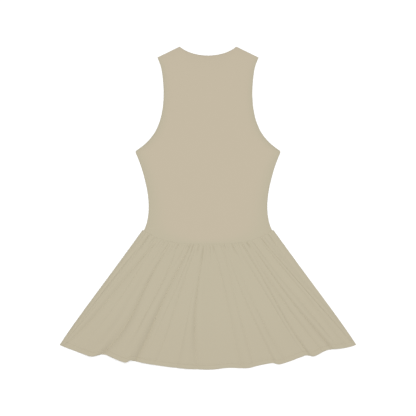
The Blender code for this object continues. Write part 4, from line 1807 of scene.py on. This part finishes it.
    def build_stops(self) -> bpy.types.Object:
        """Crimped stops: one on each tape above the slider, and one across the coils' end.

        Returns:
            Rounded bars, each a stack of rounded rectangles.
        """
        middle = self.lie.wall + self.tape_gap + self.tape_wall / 2
        top_y, low_y = self.slider_y + self.top_stop_ahead, self.bottom_y + self.low_stop_inset
        bars = (
            (self.top_stop_x, top_y, *self.top_stop_half),
            (-self.top_stop_x, top_y, *self.top_stop_half),
            (0.0, low_y, *self.low_stop_half),
        )
        stacks = []
        for x, y, half_x, half_y in bars:
            outline = oval(self.stop_sides, half_x, half_y, 0.0, self.stop_squareness)
            base = middle + float(self.lie.raised(np.array(x), np.array(y)))
            rings = []
            for ring in STOP_RINGS:
                z = np.full(self.stop_sides, base + ring.height * self.stop_half_height)
                rings.append(np.column_stack((outline * ring.size + (x, y), z)))
            stacks.append(np.stack(rings))
        faces = ring_faces(len(bars), len(STOP_RINGS), self.stop_sides, Ends.CAPPED)
        return build_mesh("zip_stops", np.stack(stacks), faces)

    def dress(self, palette: Palette) -> None:
        """Build and finish every piece of the zip."""
        for side in Side:
            tape = self.build_tape(side)
            node = f"zip_tape_{side.name.lower()}"
            dress_piece(tape, palette.tape, "zip_tape", Body.DRESS, node)
        dress_piece(self.build_coils(), palette.coil, "zip_coil", Body.DRESS, "zip_chain")
        dress_piece(self.build_stops(), palette.metal, "zip_metal", Body.DRESS)
        dress_piece(self.build_slider(), palette.metal, "zip_metal", Body.DRESS, "zip_slider")
        dress_piece(self.build_tab(), palette.metal, "zip_metal", Body.PULL_TAB, "zip_pull_tab")


# Studio


@dataclass(frozen=True)
class Studio:
    """A pale floor, soft light from above and a camera that looks straight down.

    The view is as wide as 416 pixels of 2.56 mm, at the height where it is sharp.
    """

    view_width: float = 416 * 2.56 * MM
    lens: float = 100.0
    sensor: float = 36.0
    sharp_at: float = 6 * MM
    floor_half: float = 10.0
    floor_below: float = 0.05 * MM
    floor_roughness: float = 0.9
    clouds_per_metre: float = 3.0
    sky: float = 0.12
    lamp_power: float = 384.0
    lamp_size: float = 6.0
    lamp_height: float = 5.2

    def lay_floor(self) -> None:
        """The floor, just under the dress."""
        corners = np.array(((-1, -1, 0), (1, -1, 0), (1, 1, 0), (-1, 1, 0)), float)
        below = np.array((0.0, 0.0, -self.floor_below))
        floor = build_mesh("studio_floor", corners * self.floor_half + below, [[0, 1, 2, 3]])
        graph = Graph("studio_floor_finish")
        clouds = graph.noise(graph.own_place(), self.clouds_per_metre)
        shade = graph.between(
            clouds, Srgb(246, 246, 246).linear(), Srgb(249, 249, 249).linear()
        )
        floor.data.materials.append(
            graph.finish(Base_Color=shade, Roughness=self.floor_roughness)
        )

    def light(self) -> None:
        """An even sky and one large lamp overhead."""
        scene = bpy.context.scene
        scene.world = bpy.data.worlds.new("studio_sky")
        scene.world.use_nodes = True
        sky = scene.world.node_tree.nodes["Background"]
        sky.inputs["Color"].default_value = (1.0, 1.0, 1.0, 1.0)
        sky.inputs["Strength"].default_value = self.sky
        lamp = bpy.data.lights.new("studio_lamp", "AREA")
        lamp.shape, lamp.size, lamp.energy = "DISK", self.lamp_size, self.lamp_power
        holder = bpy.data.objects.new("studio_lamp", lamp)
        holder.location = (0.0, 0.0, self.lamp_height)
        scene.collection.objects.link(holder)

    def aim(self) -> None:
        """The camera, straight above the middle at the distance where the view is this wide."""
        scene = bpy.context.scene
        camera = bpy.data.cameras.new("studio_camera")
        camera.lens, camera.sensor_width = self.lens, self.sensor
        holder = bpy.data.objects.new("studio_camera", camera)
        holder.location = (0.0, 0.0, self.view_width * self.lens / self.sensor + self.sharp_at)
        scene.collection.objects.link(holder)
        scene.camera = holder
        scene.view_settings.view_transform = "Standard"

    def set_up(self) -> None:
        """Floor, light and camera."""
        self.lay_floor()
        self.light()
        self.aim()


def main() -> None:
    """Build the studio and the dress."""
    logging.basicConfig(level=logging.INFO, format="%(name)s %(message)s")
    Studio().set_up()
    palette = Palette.mixed()
    cut, lie, cloth = Cut(), Lie(), ClothWall()
    bodice = Bodice(cut, lie, cloth)
    skirt = Skirt(cut, lie, cloth)
    bodice.dress(palette)
    skirt.dress(palette)
    tape_low, tape_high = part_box("zip_tape_right")
    slider_low, slider_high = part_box("zip_slider")
    fastener = ZipFastener(
        lie, top_y=tape_high.y, slider_y=(slider_low.y + slider_high.y) / 2,
        bottom_y=tape_low.y,
    )
    fastener.dress(palette)
    Sewing(bodice, skirt).dress(palette)


if __name__ == "__main__":
    main()
